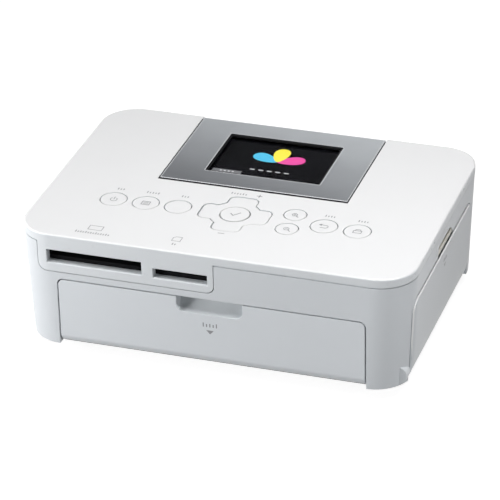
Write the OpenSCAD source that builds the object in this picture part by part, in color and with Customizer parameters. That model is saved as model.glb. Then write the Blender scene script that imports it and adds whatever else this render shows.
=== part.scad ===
// Compact photo printer: tilting screen on top, paper door in front, ink door on the right side.
// Millimetres. +Z up, the front faces -Y, the origin is on the table under the middle of the case.

/* [Case] */
// Width across the top cover
body_w = 178; // [176:1:184]
// Depth of the case
body_d = 127; // [126:1:132]
// Height from the table to the top face
body_h = 60.5; // [60:0.5:63]
// Plan radius of the four upright corners
corner_r = 16.5; // [15:0.5:18]
// How far each side leans in over the full height
draft_in = 2.9; // [2:0.1:3.4]
// Wall thickness of the housing
wall = 2.0; // [1.6:0.1:2.4]
// Thickness of the top cover plate
cover_t = 2.2; // [1.8:0.1:2.4]
// Height of the top cover's side band
band_h = 4.1; // [3.6:0.1:4.8]
// Edge rounding of the top cover
edge_r = 0.8; // [0.5:0.1:1.4]
// Lower edge of the housing above the table
shell_z = 6.4; // [6.2:0.1:6.8]
// Height of the rubber feet below the pan
foot_h = 2.0; // [1.6:0.2:2.4]
// Visible gap round doors
door_gap = 0.6; // [0.5:0.1:0.8]

/* [Paper door] */
// Distance from the case's left side to the paper door
door_in_l = 20.1; // [19.8:0.1:21]
// Distance from the case's right side to the paper door
door_in_r = 19.2; // [19:0.1:20]
// Distance from the top face down to the paper door's top edge
door_drop = 21.9; // [21.3:0.2:22.9]
// Plate thickness of both doors
door_t = 2.0; // [1.8:0.1:2.4]
// Width of the finger notch
notch_w = 29.6; // [24:0.4:36]
// Depth of the finger notch below the door's top edge
notch_h = 6.4; // [5.4:0.2:7.4]

/* [Ink door] */
// Distance from the case front to the ink door
ink_in_f = 12.3; // [11.9:0.2:13.5]
// Distance from the case rear to the ink door
ink_in_r = 19.1; // [18.1:0.2:20.1]
// Distance from the top face down to the ink door's top edge
ink_drop = 15.3; // [14.5:0.2:16.1]
// Rounding of its two upper corners
ink_corner = 5.5; // [4:0.5:7]

/* [Screen] */
// Width of the tilting screen panel
panel_w = 87.2; // [85:0.2:89]
// Thickness of the panel
panel_t = 7.5; // [7.3:0.1:7.8]
// Distance from the case front to the panel's front edge
panel_front = 62.7; // [62:0.1:64]
// Picture window width
window_w = 53.8; // [50:0.2:57]
// Picture window depth, front to back
window_d = 38; // [35:0.5:41]

/* [Buttons] */
// Clear gap round each button
key_gap = 0.35; // [0.3:0.05:0.45]
// Press travel of the buttons
key_travel = 0.5; // [0.4:0.05:0.55]
// Diameter of the round function buttons
key_d = 11.7; // [11:0.1:12.4]
// Diameter of the confirm button
ok_d = 12.8; // [12:0.1:13.2]
// Diameter of the two zoom buttons
zoom_d = 9.8; // [9:0.1:10.2]
// Tip to tip width of the direction pad
pad_w = 31.2; // [30:0.2:32]
// Width of each arm of the direction pad
pad_arm = 12.8; // [12:0.2:14]

/* [Card slots] */
// Width of the large card slot
big_slot_w = 43.7; // [43.3:0.1:44.2]
// Width of the small card slot
small_slot_w = 24.7; // [24.3:0.1:25.2]

/* [Mechanism] */
// Room on each side of the chassis, for gears and motors
side_room = 29; // [29:0.5:30]
// Chassis sheet thickness
sheet_t = 1.0; // [0.8:0.1:1.2]
// Gear module
gear_m = 0.8; // [0.8:0.01:0.82]
// Radius of the rubber platen roller
platen_r = 6.0; // [5.6:0.1:6.1]
// Radius of the feed roller
feed_r = 4.0; // [3.6:0.1:4.1]
// Radius of the rubber pick-up tyres
pickup_r = 8.0; // [7.4:0.1:8.2]
// Radius of the full ribbon roll
ribbon_r = 6.5; // [5.5:0.1:6.8]
// Distance between the two ribbon spools
spool_pitch = 32.5; // [32:0.5:34]
// Radial clearance of every running fit
run_fit = 0.05; // [0.03:0.01:0.08]

/* [Hidden] */
$fn = 48;

eps = 0.01;
hw = body_w / 2;
hd = body_d / 2;
fy = -hd;
draft_a = atan(draft_in / body_h);
seam_z = body_h - band_h;
under_z = body_h - cover_t;
groove = 0.5;

// pan
pan_in = 10.5;
pan_t = 1.8;
floor_t = 1.6;
pan_floor = foot_h + floor_t;
pan_top = shell_z + 2.0;
foot_r = 6;
foot_in = 17;
screw_fx = hw - 19;
screw_fy = fy + 17.5;
screw_rx = hw - 15;
screw_ry = hd - 16.5;
rib_x = hw - 23;
rib_h = 3;
col_r = 3.0;
screw_r = 1.5;

// paper door hinge: the lower edge is round about the pin
door_x0 = -hw + door_in_l;
door_x1 = hw - door_in_r;
door_top = body_h - door_drop;
pd_r = 4.5;
pd_y = fy + pd_r;
pd_z = shell_z + 0.5 + pd_r;
pin_r = 1.5;

// ink door hinge
ink_y0 = fy + ink_in_f;
ink_y1 = hd - ink_in_r;
ink_top = body_h - ink_drop;
scoop_y0 = -16.5;
scoop_y1 = 12.5;
id_r = 4.3;
id_z = shell_z + 0.5 + id_r;
id_x = side_x(id_z) - id_r / cos(draft_a);
lug_len = 5.2;

// screen panel: hinged at its front edge
panel_y0 = fy + panel_front;
panel_y1 = hd - 1.2;
panel_z = body_h - panel_t;
panel_gap = 0.6;
dh_r = 1.7;
dh_y = panel_y0 + dh_r;
dh_z = body_h - dh_r;
dpin_r = 1.0;
win_x = 0.4;
win_y = (panel_y0 + panel_y1) / 2 + 0.25;
lcd_rim = 2.3;
tray_z = panel_z - 0.4;
tray_t = 1.2;

// card slots
board_z = body_h - 19.5;
board_t = 1.4;
apron_x0 = -hw + 11;
apron_z0 = body_h - 18;
big_x = apron_x0 + big_slot_w / 2 + 4.4;
small_x = big_x + big_slot_w / 2 + small_slot_w / 2 + 5.1;
apron_x1 = small_x + small_slot_w / 2 + 2.7;
slot_top = body_h - 8.3;
big_slot_h = 3.7;
small_top = body_h - 10.2;
small_slot_h = 2.3;

// buttons
key_y = fy + 38.7;
key_top = body_h - 0.05;
pad_x = -0.3;
pad_y = fy + 39.4;
pad_top = body_h - 0.2;
kb_top = under_z - 3.1;
kb_t = 1.0;
dome_h = 0.3;
stem_z = kb_top + dome_h + key_travel + 0.4;
pad_tilt_z = kb_top + 1.5;

// chassis, and the heights of the sheet path and the ribbon cassette in it
ch_x = hw - side_room;
ch_y0 = fy + 23.5;
ch_y1 = hd - 5.5;
ch_top = tray_z - tray_t - 2.4;
shell_t = 1.2;
shell_r = ribbon_r + shell_t + 1.3;
spare_h = ch_top - pan_floor - 2 * platen_r - 2 * shell_r;
path_z = pan_floor + 2 * platen_r + spare_h / 3;
ribbon_z = ch_top - shell_r - spare_h / 4;

// mechanism, y and z of each axis
feed_y = -8;
pickup_y = -28;
head_y = 16.75;
feed_yz = [feed_y, path_z - feed_r];
pinch_r = 3.0;
pinch_yz = [feed_y, path_z + 0.4 + pinch_r];
pickup_yz = [pickup_y, path_z + pickup_r - 0.1];
platen_yz = [head_y, path_z - platen_r];
supply_yz = [head_y - spool_pitch / 2, ribbon_z];
take_yz = [head_y + spool_pitch / 2, ribbon_z];
pivot_yz = [ch_y1 - 8, ch_top - 5];
shaft_r = 2.5;
cas_x = ch_x - 2.5;
roll_x = cas_x - 6.5;
arm_x = ch_x - 5.4;
arm_z = ch_top - 1;
sink_z = path_z + 4.4;
seat_x = ch_x - 10;
seat_y = [ch_y0 + 4, feed_y - 8];

// gears: pressure angle, addendum, dedendum and half backlash
pa = 25;
add_f = 0.9;
ded_f = 1.12;
backlash = 0.05;
n_feed = 24;
n_idler = 28;
n_pin = 12;
n_upper = 20;
n_pick = 18;
n_take = 30;
gear_t = 2.2;
plane_a = -ch_x - sheet_t - 3.4;
plane_b = plane_a - 3.0;
bracket_x = plane_b - 2.1;
bracket_top = under_z - rib_h - 0.4;
mesh_a = gear_m * (n_feed + n_idler) / 2;
dir_a = 30;
idler_yz = feed_yz + mesh_a * [cos(dir_a), sin(dir_a)];
mesh_b = gear_m * (n_idler + n_pin) / 2;
dir_b = -22;
motor_a_yz = idler_yz + mesh_b * [cos(dir_b), sin(dir_b)];
mesh_c = gear_m * (n_take + n_pin) / 2;
dir_c = 150;
motor_b_yz = take_yz + mesh_c * [cos(dir_c), sin(dir_c)];
fk = pickup_yz - feed_yz;
fk_d = norm(fk);
fu = gear_m * (n_feed + n_upper) / 2;
ku = gear_m * (n_pick + n_upper) / 2;
fa = (fu * fu - ku * ku + fk_d * fk_d) / (2 * fk_d);
fh = sqrt(fu * fu - fa * fa);
upper_yz = feed_yz + fa * fk / fk_d + fh * [fk[1], -fk[0]] / fk_d;
phi_feed = 0;
phi_idler = mesh_phi(n_feed, phi_feed, dir_a, n_idler);
phi_pin_a = mesh_phi(n_idler, phi_idler, dir_b, n_pin);
dir_u = atan2(upper_yz[1] - feed_yz[1], upper_yz[0] - feed_yz[0]);
phi_upper = mesh_phi(n_feed, phi_feed, dir_u, n_upper);
dir_k = atan2(pickup_yz[1] - upper_yz[1], pickup_yz[0] - upper_yz[0]);
phi_pick = mesh_phi(n_upper, phi_upper, dir_k, n_pick);
phi_take = 0;
phi_pin_b = mesh_phi(n_take, phi_take, dir_c, n_pin);
motor_r = motor_a_yz[1] - pan_top - 1.4;
ribbon_motor_r = 9.8;
motor_len = 11.5;

// sockets in the rear wall
jack_x = hw - 21.9;
jack_z = 16;
sock_x0 = hw - 24.3;
sock_x1 = hw - 17.2;
sock_z0 = 25.7;
sock_z1 = 38.7;
io_y = hd - 12.9;
slit = 0.7;

// colours
white = [0.93, 0.93, 0.94];
grey = [0.45, 0.46, 0.48];
black = [0.06, 0.06, 0.07];
steel = [0.72, 0.73, 0.75];
green = [0.05, 0.3, 0.16];
rubber = [0.1, 0.1, 0.1];

// outer x of the leaning right side at height z
function side_x(z) = hw - tan(draft_a) * (body_h - z);
// phase of a gear that meshes with one of n1 teeth and phase p1, seen in direction dir
function mesh_phi(n1, p1, dir, n2) = dir + 180 - (n1 * (p1 - dir) + 180) / n2;
function involute(r, rb) = sqrt(max(0, r * r / (rb * rb) - 1)) * 180 / PI
  - acos(min(1, rb / r));
function polar(r, a) = [r * cos(a), r * sin(a)];

// rounded rectangle about the origin
module rr2(w, d, r) {
  square([w - 2 * r, d], center = true);
  square([w, d - 2 * r], center = true);
  for (sx = [-1, 1], sy = [-1, 1])
    translate([sx * (w / 2 - r), sy * (d / 2 - r)]) circle(r);
}

// rounded rectangle between two corners
module rr_box(x0, x1, y0, y1, r) {
  translate([(x0 + x1) / 2, (y0 + y1) / 2]) rr2(x1 - x0, y1 - y0, r);
}

// rectangle with two rounded upper corners
module tombstone(x0, x1, z0, z1, r) {
  translate([x0, z0]) square([x1 - x0, z1 - z0 - r]);
  translate([x0 + r, z0]) square([x1 - x0 - 2 * r, z1 - z0]);
  translate([x0 + r, z1 - r]) circle(r);
  translate([x1 - r, z1 - r]) circle(r);
}

// a drawing in x and z, carried along y
module along_y(y0, y1) {
  translate([0, y1, 0]) rotate([90, 0, 0]) linear_extrude(y1 - y0) children();
}

// a drawing in y and z, carried along x
module along_x(x0, x1) {
  translate([x0, 0, 0]) rotate([90, 0, 90]) linear_extrude(x1 - x0) children();
}

// box from corner to corner
module block(x0, x1, y0, y1, z0, z1) {
  translate([x0, y0, z0]) cube([x1 - x0, y1 - y0, z1 - z0]);
}

// round bar along x at a y, z point
module bar_x(yz, r, x0, x1) {
  translate([x0, yz[0], yz[1]]) rotate([0, 90, 0]) cylinder(r = r, h = x1 - x0);
}

// round bar along y at an x, z point
module bar_y(x, z, r, y0, y1) {
  translate([x, y0, z]) rotate([-90, 0, 0]) cylinder(r = r, h = y1 - y0);
}

// upright post
module post(x, y, r, z0, z1) {
  translate([x, y, z0]) cylinder(r = r, h = z1 - z0);
}

// tips a shape about the top edge of one side
module lean(s) {
  translate([s * hw, 0, body_h]) rotate([0, s * draft_a, 0]) translate([-s * hw, 0, -body_h])
    children();
}

// the case outline, moved in by off, between two heights, with both sides leaning
module drafted(off, z0, z1) {
  intersection() {
    lean(1) translate([0, 0, -20]) linear_extrude(body_h + 40)
      rr2(body_w - 2 * off, body_d - 2 * off, corner_r - off);
    lean(-1) translate([0, 0, -20]) linear_extrude(body_h + 40)
      rr2(body_w - 2 * off, body_d - 2 * off, corner_r - off);
    block(-hw - 9, hw + 9, -hd - 9, hd + 9, z0, z1);
  }
}

// involute spur gear outline, first tooth at angle phi
module gear2(n, phi) {
  rp = gear_m * n / 2;
  rb = rp * cos(pa);
  ra = rp + add_f * gear_m;
  rf = rp - ded_f * gear_m;
  half = 90 / n - backlash / rp * 180 / PI + involute(rp, rb);
  rs = [rf, max(rb, rf + eps), (rb + 2 * rp) / 3, (rp + ra) / 2, ra];
  hs = [for (r = rs) half - involute(max(r, rb), rb)];
  polygon([for (i = [0 : n - 1]) each concat(
    [for (k = [0 : 4]) polar(rs[k], phi + i * 360 / n - hs[k])],
    [for (k = [4 : -1 : 0]) polar(rs[k], phi + i * 360 / n + hs[k])])]);
}

module gear(yz, n, phi, x0, t) {
  translate([0, yz[0], yz[1]]) along_x(x0, x0 + t) gear2(n, phi);
}

// block with the case outline and a rounded upper edge, down to the apron's lower edge
module cover_block() {
  r = corner_r;
  h = body_h - apron_z0;
  along_x(-hw + r, hw - r) tombstone(-hd, hd, apron_z0, body_h, edge_r);
  along_y(-hd + r, hd - r) tombstone(-hw, hw, apron_z0, body_h, edge_r);
  for (sx = [-1, 1], sy = [-1, 1])
    translate([sx * (hw - r), sy * (hd - r), apron_z0]) rotate_extrude() {
      square([r - edge_r, h]);
      square([r, h - edge_r]);
      translate([r - edge_r, h - edge_r]) circle(edge_r);
    }
}

// outline of the direction pad, grown by off
module pad2(off) {
  rr2(pad_w + 2 * off, pad_arm + 2 * off, 3 + off);
  rr2(pad_arm + 2 * off, pad_w + 2 * off, 3 + off);
  circle(11.2 + off);
}

// places every round button: x, y, diameter
keys = [[-56.25, key_y - 0.4, key_d], [-41.35, key_y, key_d], [-26.5, key_y + 0.4, key_d],
  [25.3, fy + 45.8, zoom_d], [25.5, fy + 32.7, zoom_d], [40.3, key_y + 0.5, key_d],
  [55.5, key_y, key_d]];

// outline of the apron round the card mouths, in x and z, grown by off
module apron2(off) {
  x0 = apron_x0 - off;
  x1 = apron_x1 + off;
  z0 = apron_z0 - off;
  difference() {
    translate([x0, z0 - eps]) square([x1 - x0, seam_z + 1 - z0]);
    translate([x0, z0 - 1]) difference() {
      square([4, 5]);
      translate([4, 5]) circle(4);
    }
    translate([x1 - 3.5, z0 - 1]) difference() {
      square([3.5, 4.5]);
      translate([0, 4.5]) circle(3.5);
    }
    translate([x0 - 1, z0 - 2]) square([x1 - x0 + 2, 2]);
  }
}

// everything below the seam that isn't apron
module below_seam() {
  difference() {
    block(-hw - 1, hw + 1, -hd - 1, hd + 1, apron_z0 - 1, seam_z);
    along_y(fy - 2, fy + 16) apron2(0);
  }
}

// a card mouth: straight hole behind a shallow bevelled recess
module card_mouth(x, w, top, h, lip) {
  block(x - w / 2 + 0.3, x + w / 2 - 0.3, fy - 1, fy + 4, top - h, top);
  along_x(x - w / 2, x + w / 2)
    polygon([[fy - 1, top - h - lip], [fy, top - h - lip], [fy + 1.3, top - h],
      [fy + 1.3, top], [fy, top + 0.6], [fy - 1, top + 0.6]]);
}

module top_cover() {
  ox = panel_w / 2 + panel_gap;
  oy = panel_y0 - panel_gap;
  color(white) difference() {
    union() {
      difference() {
        cover_block();
        translate([0, 0, apron_z0 - 1]) linear_extrude(under_z - apron_z0 + 1)
          rr2(body_w - 2 * cover_t, body_d - 2 * cover_t, corner_r - cover_t);
        below_seam();
        card_mouth(big_x, big_slot_w, slot_top, big_slot_h, 1.7);
        card_mouth(small_x, small_slot_w, small_top, small_slot_h, 1.6);
      }
      // well that the screen panel lies in
      block(-ox - 1.5, ox + 1.5, oy - 1.5, hd - wall - 0.2, tray_z - tray_t, under_z + eps);
      // collars round the button row
      for (k = keys) post(k[0], k[1], k[2] / 2 + 1.4, under_z - 0.4, under_z + eps);
      // posts that carry the keypad board
      for (x = [-64.5, -12.5 - 5, 17.5, 64.5])
        post(x, pad_y + 12.5, 2.2, kb_top, under_z + eps);
      for (x = [-64.5, 64.5]) post(x, pad_y - 12, 2.2, kb_top, under_z + eps);
      // bosses over the rear columns
      for (s = [-1, 1]) post(s * screw_rx, screw_ry, col_r, seam_z - 6.4, under_z + eps);
      // stiffening ribs
      for (s = [-1, 1]) {
        block(s * rib_x - 0.6, s * rib_x + 0.6, oy + 6, hd - 6, under_z - rib_h, under_z + eps);
        block(s * rib_x - 17, s * rib_x + 17, 29.4, 30.6, under_z - rib_h, under_z + eps);
      }
      block(-64, 64, panel_y0 - 6, panel_y0 - 4.8, under_z - 1.8, under_z + eps);
      // hooks behind the housing wall
      for (x = [-50, -20, 22, 48])
        block(x - 4, x + 4, hd - wall - 1.5, hd - wall - 0.2, tray_z - tray_t, under_z + eps);
      for (x = [20, 60])
        block(x - 4, x + 4, fy + wall + 0.2, fy + wall + 1.4, seam_z - 4, under_z + eps);
    }
    // the well itself, open at the back
    translate([-ox, oy, tray_z]) cube([2 * ox, body_d, body_h]);
    // finger cut under the panel's rear edge
    block(-12, 12, hd - 6, hd + 1, tray_z - tray_t - 1, tray_z + 1);
    // cable hole in the well floor
    block(-9, 9, oy + 8, oy + 11, tray_z - tray_t - 1, tray_z + 1);
    for (k = keys) post(k[0], k[1], k[2] / 2 + key_gap, under_z - 3, body_h + 1);
    translate([pad_x, pad_y, under_z - 3]) linear_extrude(cover_t + 4) pad2(key_gap + 0.1);
    // hinge holes for the screen panel
    bar_x([dh_y, dh_z], dpin_r + run_fit, -ox - 3, ox + 3);
    for (s = [-1, 1])
      post(s * screw_rx, screw_ry, screw_r + run_fit, seam_z - 7, under_z - 0.6);
  }
}

module housing_openings() {
  // paper door
  along_y(fy - 1, fy + wall + 1)
    tombstone(door_x0 - door_gap, door_x1 + door_gap, shell_z - 3, door_top + door_gap, 3);
  // ink door
  along_x(id_x - 2, hw + 1)
    tombstone(ink_y0 - door_gap, ink_y1 + door_gap, shell_z - 3, ink_top + door_gap,
      ink_corner + door_gap);
  // room for the cover's apron
  along_y(fy - 1, fy + wall + 12) apron2(0.3);
  // screen panel's rear edge
  block(-panel_w / 2 - panel_gap, panel_w / 2 + panel_gap, hd - wall - 1, hd + 1,
    tray_z - tray_t, seam_z + 1);
  // paper slot in the rear wall
  along_y(hd - wall - 1, hd + 1) rr_box(-ch_x + 4, ch_x - 4, path_z - 3.1, path_z + 3.4, 1.5);
  // power inlet and data socket
  bar_y(jack_x, jack_z, 4.9, hd - wall - 1, hd + 1);
  along_y(hd - wall - 1, hd + 1)
    rr_box(sock_x0 - slit, sock_x1 + slit, sock_z0 - slit, sock_z1 + slit, 1);
  // air slots
  for (i = [0 : 7]) {
    along_y(hd - wall - 1, hd + 1)
      rr_box(-52 + 8 * i, -47.4 + 8 * i, ch_top - 17, ch_top - 3, 1.2);
    along_x(-hw - 1, -hw + 9) rr_box(5 * i, 2.4 + 5 * i, 16, ink_top - 3.2, 1);
  }
}

// pocket for the fingers above the ink door
module side_scoop(grow) {
  x0 = side_x(ink_top) - 7 - grow;
  along_x(x0, hw + 2) difference() {
    translate([scoop_y0 - grow, ink_top + 0.6 - 3])
      square([scoop_y1 - scoop_y0 + 2 * grow, 9.4 + grow]);
    translate([scoop_y1 + grow - 6, ink_top + 7 + grow - 6]) difference() {
      square([6.01, 6.01]);
      circle(6);
    }
  }
}

module main_housing() {
  color(white) difference() {
    union() {
      difference() {
        drafted(0, shell_z, seam_z);
        drafted(wall, shell_z - 1, seam_z + 1);
        difference() {
          drafted(-1, seam_z - groove, seam_z + 1);
          drafted(groove, seam_z - groove - 1, seam_z + 2);
        }
      }
      // back of the finger pocket
      intersection() {
        drafted(0.4, ink_top + door_gap, seam_z);
        side_scoop(1.4);
      }
      // bearings of the paper door
      for (s = [-1, 1]) intersection() {
        door_bearing(s);
        drafted(0.3, shell_z, seam_z);
      }
      // bearing lugs of the ink door
      bar_y(id_x, id_z, id_r, ink_y0 - door_gap - lug_len, ink_y0 - door_gap);
      bar_y(id_x, id_z, id_r - 1, ink_y1 + door_gap, ink_y1 + door_gap + lug_len);
      intersection() {
        block(id_x - 1, hw, ink_y1 + door_gap, ink_y1 + door_gap + lug_len, shell_z, id_z + 12);
        drafted(0.4, shell_z, seam_z);
      }
      intersection() {
        block(id_x - 1, hw, ink_y0 - door_gap - lug_len, ink_y0 - door_gap, id_z, id_z + 12);
        drafted(0.4, shell_z, seam_z);
      }
      // front columns under the main board, each tied to the wall
      for (s = [-1, 1]) {
        post(s * screw_fx, screw_fy, col_r, pan_top, board_z);
        block(s * (screw_fx + 1.8) - 0.8, s * (screw_fx + 1.8) + 0.8, fy + 1, screw_fy,
          pd_z + 5, board_z - 1);
        post(s * screw_rx, screw_ry, col_r, pan_top, seam_z - 6.4);
        block(s * screw_rx - 0.8, s * screw_rx + 0.8, screw_ry, hd - 1, 10, seam_z - 7);
      }
      // frame round the paper slot
      block(-ch_x + 2, ch_x - 2, hd - wall - 3, hd - 1, path_z - 4.9, path_z - 3.1);
      block(-ch_x + 2, ch_x - 2, hd - wall - 3, hd - 1, path_z + 3.4, path_z + 5);
    }
    housing_openings();
    difference() {
      side_scoop(0);
      block(-hw, hw, -hd, hd, 0, ink_top - 1);
    }
    // screw holes
    for (s = [-1, 1]) {
      post(s * screw_fx, screw_fy, screw_r + run_fit, pan_top - 1, board_z - 4);
      post(s * screw_rx, screw_ry, screw_r + 0.3, pan_top - 1, seam_z);
    }
    // pin holes
    bar_x([pd_y, pd_z], pin_r + run_fit, door_x0 - door_gap - 4.0, door_x1 + door_gap + 4.0);
    bar_y(id_x, id_z, pin_r + run_fit, ink_y0 - door_gap - lug_len + 0.6, ink_y1 + 5.2);
  }
}

// bearing block beside the paper door, open to the inside
module door_bearing(s) {
  x0 = s < 0 ? door_x0 - door_gap - 4.2 : door_x1 + door_gap;
  bar_x([pd_y, pd_z], 3.4, x0, x0 + 4.2);
  block(x0, x0 + 4.2, fy, pd_y, shell_z, pd_z + 3.4);
}

module base_pan() {
  pw = body_w - 2 * pan_in;
  pd = body_d - 2 * pan_in;
  color(grey) difference() {
    union() {
      translate([0, 0, foot_h]) linear_extrude(pan_top - foot_h) rr2(pw, pd, 8);
      difference() {
        drafted(wall + 0.2, shell_z, pan_top);
        // clear of the paper door and its bearings
        block(door_x0 - 7, door_x1 + 7, fy - 1, fy + pan_in, shell_z - 1, pan_top + 1);
        // clear of the ink door and its bearings
        block(pw / 2 - eps, hw, ink_y0 - 12, ink_y1 + 7, shell_z - 1, pan_top + 1);
      }
    }
    difference() {
      translate([0, 0, pan_floor]) linear_extrude(20) rr2(pw - 2 * pan_t, pd - 2 * pan_t, 6.2);
      for (s = [-1, 1]) {
        post(s * screw_fx, screw_fy, 4.4, 0, pan_top);
        post(s * screw_rx, screw_ry, 4.4, 0, pan_top);
      }
      // ribs under the paper bay and across its rear end
      for (x = [-45, -15, 15, 45]) block(x - 0.7, x + 0.7, -pd / 2, pd / 2 - 12, 0, pan_floor + 1.2);
      block(-ch_x + 1, ch_x - 1, pd / 2 - 9, pd / 2 - 7.6, 0, pan_floor + 1.2);
    }
    for (sx = [-1, 1]) {
      post(sx * screw_fx, screw_fy, screw_r + 0.3, 0, pan_top + 1);
      post(sx * screw_fx, screw_fy, 3.1, 0, foot_h + 3.4);
      post(sx * screw_rx, screw_ry, screw_r + 0.3, 0, pan_top + 1);
      post(sx * screw_rx, screw_ry, 3.1, 0, foot_h + 3.4);
      for (sy = [-1, 1])
        post(sx * (pw / 2 - foot_in), sy * (pd / 2 - foot_in + 4), foot_r, 0, foot_h + 0.6);
    }
    // air slots in the floor
    for (i = [0 : 5]) block(-40 + 14 * i, -32 + 14 * i, 20, 34, 0, pan_floor + 2);
  }
}

module rubber_feet() {
  pw = body_w - 2 * pan_in;
  pd = body_d - 2 * pan_in;
  color(rubber) for (sx = [-1, 1], sy = [-1, 1])
    translate([sx * (pw / 2 - foot_in), sy * (pd / 2 - foot_in + 4), 0]) {
      cylinder(r1 = foot_r - 1, r2 = foot_r - 0.4, h = foot_h);
      translate([0, 0, foot_h - eps]) cylinder(r = foot_r - 0.1, h = 0.6);
    }
}

module paper_door() {
  nx = (door_x0 + door_x1) / 2;
  color(white) difference() {
    union() {
      along_y(fy, fy + door_t) tombstone(door_x0, door_x1, pd_z, door_top, 2.5);
      // round lower edge about the hinge pin
      intersection() {
        difference() {
          bar_x([pd_y, pd_z], pd_r, door_x0, door_x1);
          bar_x([pd_y, pd_z], pd_r - door_t, door_x0 - 1, door_x1 + 1);
        }
        block(door_x0, door_x1, fy - 1, pd_y, 0, pd_z + eps);
      }
      // knuckles
      for (x = [door_x0, door_x1 - 6]) {
        bar_x([pd_y, pd_z], pd_r - 0.6, x, x + 6);
        block(x, x + 6, fy + 0.5, pd_y, pd_z, pd_z + pd_r - 0.6);
      }
      // body of the finger scoop
      block(nx - notch_w / 2 - 1.6, nx + notch_w / 2 + 1.6, fy + 1, fy + notch_h + 1.6,
        door_top - notch_h - 1.8, door_top - 0.4);
      // inner ribs and stop lip
      for (x = [door_x0 + 15, nx - 27, nx + 27, door_x1 - 15])
        block(x - 0.7, x + 0.7, fy + door_t - eps, fy + door_t + 1.6, pd_z + 6, door_top - 3);
      block(door_x0 + 8, door_x1 - 8, fy + door_t - eps, fy + door_t + 1.6, pd_z + 7, pd_z + 8.4);
      block(door_x0 + 8, nx - notch_w / 2 - 1, fy + door_t - eps, fy + door_t + 1.6,
        door_top - 4.4, door_top - 3);
      block(nx + notch_w / 2 + 1, door_x1 - 8, fy + door_t - eps, fy + door_t + 1.6,
        door_top - 4.4, door_top - 3);
    }
    // scoop: a round trough with squared ends, deepest at the door's face
    bar_x([fy, door_top + 0.2], notch_h + 0.2, nx - notch_w / 2, nx + notch_w / 2);
    bar_x([pd_y, pd_z], pin_r + eps, door_x0 - 1, door_x0 + 5);
    bar_x([pd_y, pd_z], pin_r + eps, door_x1 - 5, door_x1 + 1);
  }
}

module paper_door_pins() {
  color(steel) {
    bar_x([pd_y, pd_z], pin_r, door_x0 - door_gap - 3.6, door_x0 + 4.9);
    bar_x([pd_y, pd_z], pin_r, door_x1 - 4.9, door_x1 + door_gap + 3.6);
  }
}

module ink_door() {
  color(white) difference() {
    union() {
      intersection() {
        difference() {
          drafted(0, id_z - id_r * sin(draft_a), ink_top);
          drafted(door_t, 0, body_h);
        }
        along_x(id_x - 2, hw + 1) tombstone(ink_y0, ink_y1, 0, ink_top, ink_corner);
      }
      intersection() {
        difference() {
          bar_y(id_x, id_z, id_r, ink_y0, ink_y1);
          bar_y(id_x, id_z, id_r - door_t, ink_y0 - 1, ink_y1 + 1);
        }
        block(id_x, hw, ink_y0, ink_y1, 0, id_z + eps);
      }
      for (y = [ink_y0, ink_y1 - 6]) {
        bar_y(id_x, id_z, id_r - 0.5, y, y + 6);
        block(id_x, id_x + id_r - 1, y, y + 6, id_z, id_z + id_r - 0.5);
      }
      // ledge under the finger pocket
      intersection() {
        drafted(0.5, 0, body_h);
        block(side_x(ink_top) - 6.4, hw, scoop_y0 + 0.5, scoop_y1 - 0.5, ink_top - 1.6, ink_top);
      }
      // inner ribs
      for (y = [-38, -18, 2, 22, 36]) intersection() {
        drafted(0.5, 0, body_h);
        block(side_x(ink_top) - door_t - 2.4, hw, y - 0.7, y + 0.7, id_z + 6, ink_top - 1.4);
      }
      intersection() {
        drafted(0.5, 0, body_h);
        block(side_x(ink_top) - door_t - 2.4, hw, ink_y0 + 7, ink_y1 - 7, 26, 27.4);
      }
    }
    bar_y(id_x, id_z, pin_r + eps, ink_y0 - 1, ink_y0 + 5);
    bar_y(id_x, id_z, pin_r + eps, ink_y1 - 5, ink_y1 + 1);
  }
}

module ink_door_pins() {
  color(steel) {
    bar_y(id_x, id_z, pin_r, ink_y0 - door_gap - lug_len + 0.9, ink_y0 + 4.9);
    bar_y(id_x, id_z, pin_r, ink_y1 - 4.9, ink_y1 + door_gap + 4.4);
  }
}

// outside of the screen panel: round about the hinge in front, curved down at the back
module panel_block(off) {
  ro = 6.5;
  intersection() {
    translate([0, 0, panel_z]) linear_extrude(panel_t + 1)
      rr_box(-panel_w / 2 + off, panel_w / 2 - off, panel_y0 + off, panel_y1 + 1.2 - off, 1.8);
    along_x(-hw, hw) union() {
      translate([dh_y, dh_z]) circle(dh_r - off);
      translate([panel_y0 + off, panel_z + 1.5]) square([30, dh_z - panel_z - 1.5]);
      translate([dh_y, panel_z]) square([panel_y1 + 1.2 - ro - dh_y, panel_t - off]);
      translate([panel_y1 + 1.2 - ro, panel_z + panel_t - ro]) circle(ro - off);
      translate([20, panel_z]) square([panel_y1 + 1.2 - off - 20, panel_t - ro]);
    }
  }
}

module display_bezel() {
  color(grey) difference() {
    panel_block(0);
    // hollow from below
    difference() {
      translate([0, 0, panel_z - 2]) linear_extrude(panel_t - 2 + 2)
        rr_box(-panel_w / 2 + 1.6, panel_w / 2 - 1.6, panel_y0 + 3.6, panel_y1 - 3.4, 1);
      for (x = [-36, 36], y = [panel_y0 + 8, panel_y1 - 8])
        post(x, y, 2.4, panel_z + 1.7, body_h);
    }
    // the lower shell closes this part
    block(-panel_w / 2 + 0.8, panel_w / 2 - 0.8, panel_y0 + 2.8, panel_y1 - 2.6, panel_z - 1,
      panel_z + 1.7);
    translate([win_x, win_y, panel_z]) linear_extrude(panel_t + 1) rr2(window_w, window_d, 0.8);
    // seat of the clear window
    translate([win_x, win_y, panel_z]) linear_extrude(panel_t - 1.6)
      rr2(window_w + 3, window_d + 3, 1);
    for (s = [-1, 1])
      bar_x([dh_y, dh_z], dpin_r + eps, s > 0 ? panel_w / 2 - 4 : -panel_w / 2 - 1,
        s > 0 ? panel_w / 2 + 1 : -panel_w / 2 + 4);
  }
}

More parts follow.
